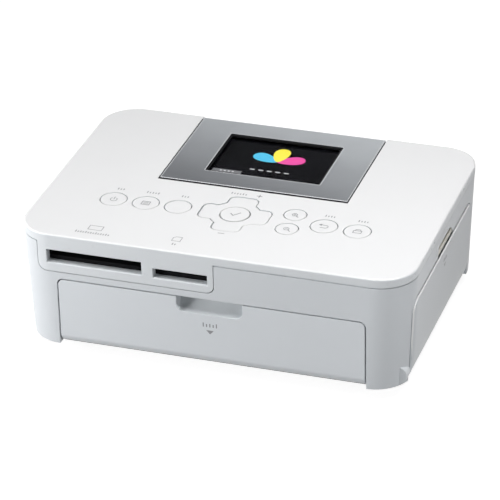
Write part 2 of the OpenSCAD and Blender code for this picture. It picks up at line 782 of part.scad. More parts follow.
module display_back() {
  color(grey) difference() {
    union() {
      block(-panel_w / 2 + 0.9, panel_w / 2 - 0.9, panel_y0 + 2.9, panel_y1 - 2.7, panel_z,
        panel_z + 1.7);
      // ribs that hold the picture module
      for (y = [win_y - window_d / 2 + 1, win_y + window_d / 2 - 2.2])
        block(win_x - window_w / 2 - 6, win_x + window_w / 2 + 6, y, y + 1.2, panel_z + 1.6,
          panel_z + 2.6);
    }
    block(-9, 9, panel_y0 + 6, panel_y0 + 9, panel_z - 1, panel_z + 3);
  }
}

module display_window() {
  color([0.05, 0.05, 0.06, 0.5]) translate([win_x, win_y, panel_z + panel_t - 2.5])
    linear_extrude(0.9) rr2(window_w + 2.8, window_d + 2.8, 0.9);
}

module lcd_module() {
  lw = window_w / 2 + 2.1;
  ld = window_d / 2 + 0.6;
  color(black) difference() {
    union() {
      block(win_x - lw - 3.8, win_x + lw + 3.8, win_y - ld - lcd_rim, win_y + ld + lcd_rim,
        panel_z + 2.6, panel_z + 4.9);
      block(win_x - lw, win_x + lw, win_y - ld, win_y + ld, panel_z + 2.7, panel_z + 5.0);
    }
    block(win_x - lw - 1.9, win_x - 12, win_y - ld - 3.5, win_y - ld - 1, panel_z + 2, panel_z + 3.4);
  }
}

module display_pins() {
  color(steel) for (s = [-1, 1])
    bar_x([dh_y, dh_z], dpin_r, s > 0 ? panel_w / 2 - 3.9 : -panel_w / 2 - 2.7,
      s > 0 ? panel_w / 2 + 2.7 : -panel_w / 2 + 3.9);
}

// a push button: dished cap, retaining flange and stem
module button(x, y, d) {
  translate([x, y, 0]) difference() {
    union() {
      post(0, 0, d / 2, under_z - 1.2, key_top);
      post(0, 0, d / 2 + 0.8, under_z - 1.6, under_z - 1);
      post(0, 0, 1.8, stem_z, under_z - 1);
    }
    translate([0, 0, key_top + 40]) sphere(r = 40 + 0.12, $fn = 96);
  }
}

module power_button() {
  color(white) button(keys[0][0], keys[0][1], keys[0][2]);
}

module menu_button() {
  color(white) button(keys[1][0], keys[1][1], keys[1][2]);
}

module edit_button() {
  color(white) button(keys[2][0], keys[2][1], keys[2][2]);
}

module zoom_in_button() {
  color(white) button(keys[3][0], keys[3][1], keys[3][2]);
}

module zoom_out_button() {
  color(white) button(keys[4][0], keys[4][1], keys[4][2]);
}

module back_button() {
  color(white) button(keys[5][0], keys[5][1], keys[5][2]);
}

module print_button() {
  color(white) button(keys[6][0], keys[6][1], keys[6][2]);
}

module ok_button() {
  color(white) translate([pad_x, pad_y, 0]) {
    post(0, 0, ok_d / 2, under_z - 0.9, body_h);
    post(0, 0, 5.4, pad_tilt_z + 0.3, under_z - 0.8);
    post(0, 0, 1.8, stem_z, pad_tilt_z + 0.4);
  }
}

module direction_pad() {
  color(white) translate([pad_x, pad_y, 0]) difference() {
    union() {
      translate([0, 0, pad_tilt_z]) linear_extrude(pad_top - pad_tilt_z) pad2(0);
      translate([0, 0, pad_tilt_z]) linear_extrude(0.7) pad2(1);
    }
    post(0, 0, ok_d / 2 + 0.45, pad_tilt_z - 1, body_h);
  }
}

module pad_cushion() {
  color(rubber) translate([pad_x, pad_y, kb_top + 0.55]) difference() {
    cylinder(r = 9.6, h = 0.35);
    translate([0, 0, -1]) cylinder(r = 7.6, h = 3);
  }
}

module keypad_board() {
  color(green) difference() {
    block(-68, 68, pad_y - 15.5, pad_y + 15.5, kb_top - kb_t, kb_top);
    block(-8, 8, pad_y - 16, pad_y - 15, kb_top - 3, kb_top + 1);
    for (x = [-64.5, -17.5, 17.5, 64.5]) post(x, pad_y + 12.5, 1.1, kb_top - 3, kb_top + 1);
    for (x = [-64.5, 64.5]) post(x, pad_y - 12, 1.1, kb_top - 3, kb_top + 1);
  }
}

module key_domes() {
  color(steel) {
    for (k = keys) post(k[0], k[1], 2.2, kb_top, kb_top + dome_h);
    post(pad_x, pad_y, 2.2, kb_top, kb_top + dome_h);
    for (a = [0, 90, 180, 270])
      post(pad_x + 13 * cos(a), pad_y + 13 * sin(a), 2, kb_top, kb_top + dome_h);
  }
}

module main_board() {
  color(green) difference() {
    block(-hw + 13, hw - 15, fy + 4, feed_y - 4.4, board_z, board_z + board_t);
    for (x = [-seat_x, seat_x], y = seat_y) post(x, y, 1.2, board_z - 1, board_z + 3);
    // clear of the upper idler gear
    block(-hw, -ch_x - 1.4, upper_yz[0] - 10, feed_y, board_z - 1, board_z + 3);
  }
}

module board_chips() {
  bz = board_z + board_t;
  color(black) {
    block(16, 34, -44, -26, bz, bz + 1.4);
    block(40, 50, -40, -28, bz, bz + 1.2);
    block(8, 13, -24, -15, bz, bz + 1.1);
    block(hw - 33, hw - 27, -30, -24, bz, bz + 2.4);
    block(20, 27, -20, -15, bz, bz + 1.1);
    for (x = [38, 46, hw - 23]) post(x, fy + 13.5, 3.1, bz, bz + 6);
    for (i = [0 : 3]) block(hw - 35 + 4 * i, hw - 33 + 4 * i, -42, -38, bz, bz + 0.9);
    block(-22, -4, -17, -12, bz, bz + 3);
  }
}

module large_card_connector() {
  color(black) difference() {
    block(big_x - big_slot_w / 2 - 1.4, big_x + big_slot_w / 2 + 1.4, fy + cover_t + 0.4,
      fy + 38, board_z + board_t, slot_top + 1);
    block(big_x - big_slot_w / 2 + 0.3, big_x + big_slot_w / 2 - 0.3, fy, fy + 35,
      slot_top - big_slot_h, slot_top);
    block(big_x - big_slot_w / 2 + 4, big_x + big_slot_w / 2 - 4, fy + 8, fy + 39,
      board_z, slot_top - big_slot_h - 1);
  }
}

module small_card_connector() {
  color(black) difference() {
    block(small_x - small_slot_w / 2 - 1, small_x + small_slot_w / 2 + 1, fy + cover_t + 0.4,
      fy + 31, board_z + board_t, small_top + 1);
    block(small_x - small_slot_w / 2 + 0.3, small_x + small_slot_w / 2 - 0.3, fy, fy + 28.5,
      small_top - small_slot_h, small_top);
    block(small_x - small_slot_w / 2 + 3, small_x + small_slot_w / 2 - 3, fy + 7, fy + 32,
      board_z, small_top - small_slot_h - 1);
  }
}

module io_board() {
  color(green) difference() {
    block(sock_x1, sock_x1 + 1.1, io_y, hd - wall - 0.4, pan_top, sock_z1 + 3.3);
    bar_x([hd - 8, jack_z + 6.8], 1.2, sock_x1 - 1, sock_x1 + 2);
  }
}

module dc_jack() {
  color(black) {
    difference() {
      union() {
        block(jack_x - 4.7, sock_x1, io_y + 0.3, hd - wall - 0.3, jack_z - 4.8, jack_z + 4.8);
        bar_y(jack_x, jack_z, 4.5, hd - wall - 0.4, hd - 0.5);
      }
      bar_y(jack_x, jack_z, 2.9, hd - 11, hd + 1);
    }
    bar_y(jack_x, jack_z, 0.9, hd - 11.5, hd - 1.6);
  }
}

module usb_socket() {
  color(steel) {
    difference() {
      block(sock_x0, sock_x1, io_y + 0.3, hd - 0.7, sock_z0, sock_z1);
      block(sock_x0 + 0.6, sock_x1 - 0.7, hd - 11.8, hd, sock_z0 + 0.6, sock_z1 - 0.6);
    }
    block(sock_x0 + 2.9, sock_x0 + 4.7, hd - 12.2, hd - 2, sock_z0 + 1.7, sock_z1 - 1.7);
  }
}

// one folded side plate, drawn in y and z
module side_plate2() {
  polygon([[ch_y0, pan_floor], [hd - 13.5, pan_floor], [hd - 13.5, pan_top + 0.3],
    [ch_y1, pan_top + 0.3], [ch_y1, ch_top], [feed_y - 4, ch_top], [feed_y - 4, board_z - 2],
    [ch_y0, board_z - 2]]);
}

module chassis() {
  w0 = supply_yz[0] - shell_r - 0.5;
  w1 = take_yz[0] + shell_r + 0.5;
  xo = ch_x + sheet_t;
  color(steel) difference() {
    union() {
      for (x = [-ch_x - sheet_t, ch_x]) along_x(x, x + sheet_t) side_plate2();
      // feet folded outward on the pan floor
      for (s = [-1, 1], y = [ch_y0 + 6, ch_y1 - 22])
        block(s > 0 ? ch_x : -ch_x - 6, s > 0 ? ch_x + 6 : -ch_x, y, y + 12, pan_floor,
          pan_floor + sheet_t);
      // cross plates
      block(-xo, xo, ch_y0, feed_y - 5, board_z - 2 - sheet_t, board_z - 2);
      block(-xo, xo, ch_y1 - 4, ch_y1, ch_top - sheet_t, ch_top);
      block(-xo, xo, feed_y - 4, feed_y - 1.4, ch_top - sheet_t, ch_top);
      block(-xo, xo, ch_y1 - sheet_t, ch_y1, path_z + 6.4, ch_top);
      // raised seats for the main board
      for (x = [-seat_x, seat_x], y = seat_y) post(x, y, 3, board_z - 2 - eps, board_z);
      // rests for the cassette's inner end
      for (yz = [supply_yz, take_yz])
        block(-ch_x - eps, -cas_x + 2.5, yz[0] - 3, yz[0] + 3, ribbon_z - shell_r - 1,
          ribbon_z - shell_r);
    }
    for (x = [-seat_x, seat_x], y = seat_y) post(x, y, 1.2, board_z - 4, board_z + 1);
    // window for the ink cassette
    block(ch_x - 1, ch_x + 2, w0, w1, ribbon_z - shell_r, ribbon_z + shell_r + 1.2);
    for (yz = [feed_yz, pickup_yz, platen_yz]) bar_x(yz, shaft_r + run_fit, -ch_x - 3, ch_x + 3);
    bar_x(pinch_yz, 1.5 + run_fit, -ch_x - 3, ch_x + 3);
    bar_x(pivot_yz, 2 + run_fit, -ch_x - 3, ch_x + 3);
    bar_x(take_yz, 3 + run_fit, -ch_x - 3, -ch_x + 1);
    // lightening holes
    for (y = [ch_y1 - 24, ch_y1 - 10]) bar_x([y, 14], 4, -ch_x - 3, ch_x + 3);
    // window over the pick-up tyres
    block(-30, 30, pickup_y - pickup_r - 1, pickup_y + pickup_r + 1, board_z - 9, board_z - 1);
  }
}

module gear_bracket() {
  x0 = bracket_x - sheet_t;
  y0 = ch_y0 + 2;
  y1 = take_yz[0] + 11;
  color(steel) difference() {
    union() {
      along_x(x0, bracket_x)
        polygon([[y0, pan_top + 0.6], [y1, pan_top + 0.6], [y1, bracket_top - 3.5],
          [y1 - 4, bracket_top], [feed_y + 6, bracket_top], [feed_y - 1, ch_top],
          [feed_y - 1, board_z - 1], [y0, board_z - 1]]);
      for (yz = [[y0 + 4, 13], [y1 - 4, 14], [feed_y + 4, ch_top - 2.4]])
        bar_x(yz, 2, bracket_x - eps, -ch_x - sheet_t);
      for (yz = [idler_yz, upper_yz]) bar_x(yz, 1.5, bracket_x - eps, -ch_x - sheet_t);
    }
    bar_x(motor_a_yz, 1.6, x0 - 1, bracket_x + 1);
    bar_x(motor_b_yz, 1.6, x0 - 1, bracket_x + 1);
    bar_x(feed_yz, shaft_r + run_fit, x0 - 1, bracket_x + 1);
    bar_x(take_yz, 3 + run_fit, x0 - 1, bracket_x + 1);
    for (yz = [[-20, path_z - 3.6], [y1 - 4, path_z + 4.4], [6, ch_top - 5]])
      bar_x(yz, 3.4, x0 - 1, bracket_x + 1);
  }
}

// flat can motor on the outside of the bracket
module can_motor(yz, r, len, a) {
  x1 = bracket_x - sheet_t;
  difference() {
    union() {
      bar_x(yz, r, x1 - len, x1);
      bar_x(yz, 3, x1 - len - 0.8, x1);
      translate([0, yz[0], yz[1]]) along_x(x1 - 1, x1) rotate(a) rr2(2 * r + 6, 8, 3.9);
    }
    bar_x(yz, 1 + run_fit, x1 - len + 1, x1 + 1);
    for (s = [-1, 1]) bar_x(yz + s * polar(r + 0.6, a), 1.1, x1 - 2, x1 + 1);
  }
}

module feed_motor() {
  color(steel) can_motor(motor_a_yz, motor_r, motor_len, 45);
}

module ribbon_motor() {
  color(steel) can_motor(motor_b_yz, ribbon_motor_r, motor_len, 0);
}

module feed_pinion() {
  color(white) {
    gear(motor_a_yz, n_pin, phi_pin_a, plane_a, gear_t);
    bar_x(motor_a_yz, 1, bracket_x - 10, plane_a + gear_t + 0.5);
  }
}

module ribbon_pinion() {
  color(white) {
    gear(motor_b_yz, n_pin, phi_pin_b, plane_b, gear_t);
    bar_x(motor_b_yz, 1, bracket_x - 10, plane_b + gear_t + 0.5);
  }
}

// gear that turns on a pin
module pin_gear(yz, n, phi) {
  difference() {
    union() {
      gear(yz, n, phi, plane_a, gear_t);
      bar_x(yz, 3, plane_a - 4.4, plane_a + gear_t + 0.7);
    }
    bar_x(yz, 1.5 + run_fit, plane_a - 9, plane_a + 9);
  }
}

module idler_gear() {
  color(white) difference() {
    pin_gear(idler_yz, n_idler, phi_idler);
    for (a = [0 : 60 : 300])
      bar_x(idler_yz + 6.4 * [cos(a), sin(a)], 1.9, plane_a - 1, plane_a + 3);
  }
}

module upper_idler_gear() {
  color(white) pin_gear(upper_yz, n_upper, phi_upper);
}

module feed_roller() {
  color(steel) {
    bar_x(feed_yz, feed_r, -ch_x + 4, ch_x - 4);
    bar_x(feed_yz, shaft_r, bracket_x - 2.4, ch_x + 3);
  }
}

module shaft_gear(yz, n, phi, x0) {
  difference() {
    union() {
      gear(yz, n, phi, x0, gear_t);
      bar_x(yz, 4.2, x0 - 1.4, x0 + gear_t + 0.6);
    }
    bar_x(yz, shaft_r + eps, x0 - 9, x0 + 9);
  }
}

module feed_gear() {
  color(white) shaft_gear(feed_yz, n_feed, phi_feed, plane_a);
}

module pickup_shaft() {
  color(steel) bar_x(pickup_yz, shaft_r, plane_a - 1.6, ch_x + 3);
}

module pickup_tyres() {
  color(rubber) for (x = [-24, 8]) difference() {
    bar_x(pickup_yz, pickup_r, x, x + 16);
    bar_x(pickup_yz, shaft_r + eps, x - 1, x + 17);
  }
}

module pickup_gear() {
  color(white) shaft_gear(pickup_yz, n_pick, phi_pick, plane_a);
}

module pinch_roller() {
  color(rubber) {
    bar_x(pinch_yz, pinch_r, -ch_x + 6, ch_x - 6);
    bar_x(pinch_yz, 1.5, -ch_x - sheet_t - 0.6, ch_x + sheet_t + 0.6);
  }
}

module platen_shaft() {
  color(steel) bar_x(platen_yz, shaft_r, -ch_x - sheet_t - 0.8, ch_x + 3);
}

module platen_rubber() {
  color(rubber) difference() {
    bar_x(platen_yz, platen_r, -ch_x + 6, ch_x - 6);
    bar_x(platen_yz, shaft_r + eps, -ch_x, ch_x);
  }
}

module head_arm() {
  y0 = head_y - 4.75;
  py = pivot_yz[0];
  pz = pivot_yz[1];
  color(steel) difference() {
    union() {
      block(-arm_x, arm_x, y0, py - 3, arm_z - 1, arm_z);
      for (x = [-arm_x, arm_x - 1.2])
        along_x(x, x + 1.2) polygon([[y0, arm_z - 14], [head_y + 4.15, arm_z - 14],
          [head_y + 4.85, arm_z - 1.8], [py - 4, arm_z - 1.8], [py - 3, pz - 4],
          [py + 3.5, pz - 4], [py + 3.5, pz + 3.2], [py - 3, arm_z], [y0, arm_z]]);
    }
    bar_x(pivot_yz, 2 + eps, -arm_x - 1, arm_x + 1);
    for (x = [-30, 0, 30]) block(x - 9, x + 9, head_y + 9.25, py - 8, arm_z - 2, arm_z + 1);
    for (x = [-40, 40]) post(x, head_y, 1.5, arm_z - 2, arm_z + 1);
  }
}

module head_pivot() {
  color(steel) bar_x(pivot_yz, 2, -ch_x - sheet_t - 0.8, ch_x + sheet_t + 0.8);
}

module head_heatsink() {
  fins = floor((arm_z - sink_z - 5) / 3.6);
  color(steel) difference() {
    block(-arm_x + 1.3, arm_x - 1.3, head_y - 4, head_y + 4, sink_z, arm_z - 1.1);
    for (i = [0 : fins - 1])
      block(-arm_x, arm_x, head_y - 5, head_y - 0.95, sink_z + 2.6 + 3.6 * i,
        sink_z + 4.4 + 3.6 * i);
  }
}

module print_head() {
  z0 = path_z + 1.1;
  z1 = path_z + 2;
  color(black) along_x(-cas_x + 5.5, cas_x - 5.5) translate([head_y, 0])
    polygon([[-2.55, sink_z], [-2.15, z1], [-0.85, z0], [0.85, z0], [2.15, z1], [2.55, sink_z]]);
}

module ink_cassette() {
  ci = ribbon_z - shell_r;
  grip_x = hw - 11;
  color([0.25, 0.26, 0.3]) difference() {
    union() {
      for (yz = [supply_yz, take_yz]) bar_x(yz, shell_r, -cas_x, cas_x);
      for (x = [-cas_x, cas_x - 2]) block(x, x + 2, supply_yz[0] - shell_r + 2,
        take_yz[0] + shell_r - 2, ci + 2, ci + 2 * shell_r - 2);
      for (x = [-cas_x, cas_x - 2]) block(x, x + 2, supply_yz[0] - 5, take_yz[0] + 5, ci, ci + 3);
      // grip at the outer end
      block(cas_x - eps, grip_x, supply_yz[0] - 2, take_yz[0] + 2, ci + 4,
        ci + 2 * shell_r - 3);
    }
    for (yz = [supply_yz, take_yz]) {
      bar_x(yz, shell_r - shell_t, -cas_x + 2, cas_x - 2);
      bar_x(yz, 3.5 + run_fit, -cas_x - 1, cas_x + 1);
    }
    // mouths that the film leaves by
    block(-cas_x + 2, cas_x - 2, supply_yz[0] - 2, supply_yz[0] + shell_r + 1, ci - 1, ci + 6);
    block(-cas_x + 2, cas_x - 2, take_yz[0] - shell_r - 1, take_yz[0] + 2, ci - 1, ci + 6);
    // finger hollows of the grip
    for (z = [ci - 1, ci + shell_r + 1.6])
      block(cas_x + 3, grip_x - 3, supply_yz[0] + 2, take_yz[0] - 2, z, z + shell_r - 0.6);
  }
}

// a spool: core, end journals and the wound ribbon
module spool(yz, roll_r) {
  bar_x(yz, roll_r, -roll_x, roll_x);
  bar_x(yz, 3.5, -cas_x + 0.2, cas_x - 0.2);
  for (x = [-roll_x - 2.4, roll_x + 1.4]) bar_x(yz, shell_r - shell_t - 0.5, x, x + 1);
}

module supply_spool() {
  color([0.5, 0.45, 0.1]) spool(supply_yz, ribbon_r);
}

module takeup_spool() {
  color([0.2, 0.2, 0.22]) difference() {
    spool(take_yz, ribbon_r - 1.6);
    translate([0, take_yz[0], take_yz[1]]) along_x(-cas_x - 1, -cas_x + 6)
      circle(2.45, $fn = 6);
  }
}

module takeup_gear() {
  color(white) {
    gear(take_yz, n_take, phi_take, plane_b, gear_t);
    bar_x(take_yz, 3, bracket_x - 0.9, -cas_x - 0.6);
    translate([0, take_yz[0], take_yz[1]]) along_x(-cas_x - 0.8, -cas_x + 5)
      circle(2.35, $fn = 6);
  }
}

module ribbon_film() {
  r = ribbon_r + 0.35;
  p = [head_y - 2.45, path_z + 0.4];
  q = supply_yz;
  d = norm(q - p);
  ang = atan2(q[1] - p[1], q[0] - p[0]) + asin(r / d);
  len = sqrt(d * d - r * r);
  e = p + len * [cos(ang), sin(ang)];
  m = head_y;
  t = 0.3;
  color([0.75, 0.1, 0.35]) along_x(-roll_x + 0.5, roll_x - 0.5)
    polygon([e, p, [2 * m - p[0], p[1]], [2 * m - e[0], e[1]], [2 * m - e[0], e[1] + t],
      [2 * m - p[0] - 0.1, p[1] + t], [p[0] + 0.1, p[1] + t], [e[0], e[1] + t]]);
}

// a pan head screw driven up from below
module screw(x, y, z1) {
  difference() {
    union() {
      post(x, y, 2.7, foot_h + 1.6, foot_h + 3.4);
      post(x, y, screw_r, foot_h + 3.3, z1);
    }
    block(x - 1.6, x + 1.6, y - 0.35, y + 0.35, 0, foot_h + 2.4);
    block(x - 0.35, x + 0.35, y - 1.6, y + 1.6, 0, foot_h + 2.4);
  }
}

module case_screws() {
  color(steel) for (s = [-1, 1]) screw(s * screw_fx, screw_fy, 26);
}

module cover_screws() {
  color(steel) for (s = [-1, 1]) screw(s * screw_rx, screw_ry, seam_z - 1);
}

top_cover();
main_housing();
base_pan();
rubber_feet();
paper_door();
paper_door_pins();
ink_door();
ink_door_pins();
display_bezel();
display_back();
display_window();
lcd_module();
display_pins();
power_button();
menu_button();
edit_button();
ok_button();
direction_pad();
pad_cushion();
zoom_in_button();
zoom_out_button();
back_button();
print_button();
keypad_board();
key_domes();
main_board();
board_chips();
large_card_connector();
small_card_connector();
io_board();
dc_jack();
usb_socket();
chassis();
gear_bracket();
feed_motor();
feed_pinion();
ribbon_motor();
ribbon_pinion();
idler_gear();
upper_idler_gear();
feed_roller();
feed_gear();
pickup_shaft();
pickup_tyres();
pickup_gear();
pinch_roller();
platen_shaft();
platen_rubber();
head_arm();
head_pivot();
head_heatsink();
print_head();
ink_cassette();
supply_spool();
takeup_spool();
takeup_gear();
ribbon_film();
case_screws();
cover_screws();
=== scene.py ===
import bpy
import bmesh
import math
from mathutils import Matrix, Vector


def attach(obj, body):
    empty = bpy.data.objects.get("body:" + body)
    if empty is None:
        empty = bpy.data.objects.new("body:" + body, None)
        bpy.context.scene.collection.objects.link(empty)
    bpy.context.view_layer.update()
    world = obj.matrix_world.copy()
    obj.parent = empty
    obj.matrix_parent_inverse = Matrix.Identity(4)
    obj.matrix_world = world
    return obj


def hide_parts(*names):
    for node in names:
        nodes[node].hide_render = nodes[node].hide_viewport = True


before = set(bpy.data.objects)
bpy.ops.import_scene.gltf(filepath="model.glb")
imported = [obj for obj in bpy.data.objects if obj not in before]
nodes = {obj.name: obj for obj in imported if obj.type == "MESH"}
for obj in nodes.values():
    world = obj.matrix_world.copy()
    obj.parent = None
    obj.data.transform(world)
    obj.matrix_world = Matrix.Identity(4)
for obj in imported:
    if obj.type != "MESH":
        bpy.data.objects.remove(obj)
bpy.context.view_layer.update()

# Shapes are drawn in millimetres and brought to metres by MM.
MM = 0.001
BODY_W, BODY_D, BODY_H = 178.0, 127.0, 60.5
FRONT, REAR = -BODY_D / 2, BODY_D / 2
LEAN = 2.9 / 60.5       # how far the sides come in for each millimetre down
HAIR = 0.003            # keeps a joined shape off the faces of its solid


# ---------------------------------------------------------------- materials
def tree(name):
    m = bpy.data.materials.new(name)
    m.use_nodes = True
    nt = m.node_tree
    return m, nt, nt.nodes["Principled BSDF"]


def calc(nt, operation, *values):
    """The output of a math node whose inputs are sockets or plain numbers."""
    n = nt.nodes.new("ShaderNodeMath")
    n.operation = operation
    for slot, v in zip(n.inputs, values):
        if isinstance(v, float):
            slot.default_value = v
        else:
            nt.links.new(v, slot)
    return n.outputs[0]


def noise(nt, scale, detail=3.0, stretch=None):
    """Noise in the part's own true coordinates; scale is in features per metre."""
    src = nt.nodes.new("ShaderNodeTexCoord").outputs["Object"]
    if stretch:
        mp = nt.nodes.new("ShaderNodeMapping")
        mp.inputs["Scale"].default_value = stretch
        nt.links.new(src, mp.inputs["Vector"])
        src = mp.outputs["Vector"]
    n = nt.nodes.new("ShaderNodeTexNoise")
    n.inputs["Scale"].default_value = scale
    n.inputs["Detail"].default_value = detail
    nt.links.new(src, n.inputs["Vector"])
    return n.outputs["Fac"]


def remap(nt, src, lo, hi, a=0.3, b=0.7):
    r = nt.nodes.new("ShaderNodeMapRange")
    for k, v in (("From Min", a), ("From Max", b), ("To Min", lo), ("To Max", hi)):
        r.inputs[k].default_value = v
    nt.links.new(src, r.inputs["Value"])
    return r.outputs["Result"]


def mixed(nt, src, c1, c2):
    r = nt.nodes.new("ShaderNodeValToRGB")
    for end, place, c in zip(r.color_ramp.elements, (0.3, 0.7), (c1, c2)):
        end.position = place
        end.color = (*c, 1)
    nt.links.new(src, r.inputs["Fac"])
    return r.outputs["Color"]


def spread(rgb, vary):
    """The darker and the lighter end of a colour that varies a little."""
    return tuple(c * (1 - vary) for c in rgb), tuple(min(1, c * (1 + vary)) for c in rgb)


def gradient(nt, near, far, start, end):
    """Turns one colour into another from the front left to the rear right: a painted reflection.
    """
    tc = nt.nodes.new("ShaderNodeTexCoord")
    sp = nt.nodes.new("ShaderNodeSeparateXYZ")
    nt.links.new(tc.outputs["Object"], sp.inputs[0])
    slant = calc(nt, "MULTIPLY_ADD", sp.outputs["X"], 0.3, sp.outputs["Y"])
    mx = nt.nodes.new("ShaderNodeMix")
    mx.data_type = "RGBA"
    nt.links.new(remap(nt, slant, 0.0, 1.0, start, end), mx.inputs[0])
    nt.links.new(near, mx.inputs[6])
    nt.links.new(far, mx.inputs[7])
    return mx.outputs[2]


def surface(name, rgb, rough, vary=0.03, rough_vary=0.06, cloud=60.0, grain=2500.0,
            bump=0.000008, edge=0.0002, metallic=0.0, coat=0.0, spec=0.5, stretch=None,
            painted_reflection=None):
    """A moulded or metal surface: slow colour drift, fine grain in the normal, uneven gloss.
    edge is the radius to which sharp edges are rounded in the normal. The last argument is a
    second colour, and the places in metres along the slant between which the paint turns to it:
    a painted reflection."""
    m, nt, b = tree(name)
    drift = noise(nt, cloud, 2.0)
    tone = mixed(nt, drift, *spread(rgb, vary))
    if painted_reflection:
        tone = gradient(nt, tone, mixed(nt, drift, *spread(painted_reflection[0], vary)), *painted_reflection[1:])
    nt.links.new(tone, b.inputs["Base Color"])
    fine = noise(nt, grain, 3.0, stretch)
    nt.links.new(remap(nt, fine, max(0.02, rough - rough_vary), rough + rough_vary),
                 b.inputs["Roughness"])
    bp = nt.nodes.new("ShaderNodeBump")
    bp.inputs["Strength"].default_value = 0.5
    bp.inputs["Distance"].default_value = bump
    nt.links.new(fine, bp.inputs["Height"])
    if edge:
        bv = nt.nodes.new("ShaderNodeBevel")
        bv.samples = 4
        bv.inputs["Radius"].default_value = edge
        nt.links.new(bv.outputs["Normal"], bp.inputs["Normal"])
    nt.links.new(bp.outputs["Normal"], b.inputs["Normal"])
    b.inputs["Metallic"].default_value = metallic
    b.inputs["Coat Weight"].default_value = coat
    b.inputs["Coat Roughness"].default_value = 0.03
    b.inputs["Specular IOR Level"].default_value = spec
    return m


def ink(name, rgb):
    return surface(name, rgb, 0.35, vary=0.02, grain=6000.0, bump=0.000002, edge=0.0)


def glow(name, rgb, strength):
    """A lit part of the picture on the screen."""
    m, nt, b = tree(name)
    lo = tuple(c * 0.94 for c in rgb)
    nt.links.new(mixed(nt, noise(nt, 8000.0, 1.0), lo, rgb), b.inputs["Emission Color"])
    b.inputs["Base Color"].default_value = (0.01, 0.01, 0.01, 1)
    b.inputs["Emission Strength"].default_value = strength
    b.inputs["Roughness"].default_value = 0.3
    return m


def glass():
    m, nt, b = tree("clear_window")
    nt.links.new(remap(nt, noise(nt, 90.0, 4.0), 0.02, 0.05), b.inputs["Roughness"])
    b.inputs["Base Color"].default_value = (0.95, 0.97, 0.98, 1)
    b.inputs["Transmission Weight"].default_value = 1.0
    b.inputs["IOR"].default_value = 1.06
    b.inputs["Specular IOR Level"].default_value = 0.2
    return m


WHITE = (0.78, 0.783, 0.79)
SHELL = (0.66, 0.688, 0.716)
SATIN = dict(vary=0.004, rough_vary=0.008, grain=300.0, bump=0.0000006, spec=0.2)
MAT = {
    "cover": surface("cover_gloss_white", WHITE, 0.16, vary=0.004, rough_vary=0.01,
                     grain=250.0, bump=0.0000015, edge=0.0005, coat=0.25),
    "shell": surface("shell_satin_white", SHELL, 0.32, edge=0.0004, **SATIN),
    "door": surface("door_satin_white", (0.70, 0.73, 0.76), 0.30, edge=0.0005, **SATIN),
    # white for the ink door's edge bevels: a painted highlight
    "door_edge_highlight": surface("door_edge_painted_highlight", WHITE, 0.2, vary=0.004, rough_vary=0.01,
                           grain=250.0, bump=0.000001, edge=0.0),
    # black for the window's mask, and painted shade in the panel's gap and along its front edge
    "mask_and_shade": surface("black_mask_and_painted_shade", (0.006, 0.006, 0.007), 0.8, vary=0.2, bump=0.00001,
                    edge=0.0, spec=0.1),
    # painted highlights on the panel's edges and round its window
    "bright": surface("panel_painted_highlight", (0.62, 0.63, 0.65), 0.25, vary=0.02, metallic=0.6,
                      bump=0.000002, edge=0.0),
    # the cover's sides: satin, and darker than the top as painted shade
    "cover_band_shaded": surface("cover_band_satin_painted_shade", (0.70, 0.728, 0.752), 0.28, edge=0.0005, **SATIN),
    # the card connectors' black, made darker than moulded black as painted shade deep in the
    # mouths
    "mouth": surface("connector_black_and_mouth_shade", (0.004, 0.004, 0.005), 0.7, vary=0.1, bump=0.000005,
                     spec=0.1),
    "shell_plain": surface("shell_satin_plain", SHELL, 0.32, edge=0.0, **SATIN),
    # the ink door's skin: the door's white made darker as painted shade on the right side
    "door_side_shade": surface("door_satin_painted_shade", (0.555, 0.585, 0.612), 0.30, edge=0.0, **SATIN),
    "key": surface("key_gloss_white", WHITE, 0.20, vary=0.006, rough_vary=0.01,
                   grain=300.0, bump=0.000001, edge=0.0006),
    "pan": surface("pan_grey", (0.12, 0.125, 0.135), 0.55, vary=0.06, grain=1800.0,
                   bump=0.00003),
    # its dark grey turns a lighter grey towards the rear right: a painted reflection on the
    # metal
    "bezel": surface("bezel_metallic_grey", (0.10, 0.107, 0.118), 0.34, vary=0.04,
                     grain=2600.0, bump=0.000004, edge=0.0004, metallic=0.55,
                     stretch=(0.25, 4.0, 1.0), painted_reflection=((0.37, 0.39, 0.41), -0.006, 0.068)),
    "back": surface("panel_back_grey", (0.55, 0.56, 0.58), 0.45, vary=0.03, bump=0.00002),
    "rubber": surface("soft_black_rubber", (0.022, 0.022, 0.023), 0.75, vary=0.15,
                      bump=0.00004),
    "steel": surface("ground_steel", (0.62, 0.63, 0.65), 0.24, vary=0.04, metallic=1.0,
                     stretch=(0.1, 3.0, 3.0), bump=0.00001),
    "sheet": surface("zinc_sheet", (0.60, 0.62, 0.63), 0.36, vary=0.09, cloud=160.0,
                     metallic=1.0, bump=0.00002),
    "black": surface("moulded_black", (0.018, 0.018, 0.02), 0.45, vary=0.1, bump=0.00002),
    "board": surface("board_green", (0.012, 0.12, 0.05), 0.32, vary=0.12, cloud=500.0,
                     bump=0.00002),
    "gear": surface("acetal_gear", (0.80, 0.79, 0.74), 0.40, vary=0.02, bump=0.00001),
    "sink": surface("extruded_aluminium", (0.70, 0.71, 0.72), 0.32, vary=0.04,
                    metallic=1.0, stretch=(0.1, 3.0, 3.0), bump=0.00002),
    "cassette": surface("cassette_grey", (0.05, 0.052, 0.06), 0.42, vary=0.06,
                        bump=0.00003),
    "ribbon": surface("ribbon_film_yellow", (0.80, 0.60, 0.03), 0.22, vary=0.05,
                      grain=400.0, bump=0.00002),
}
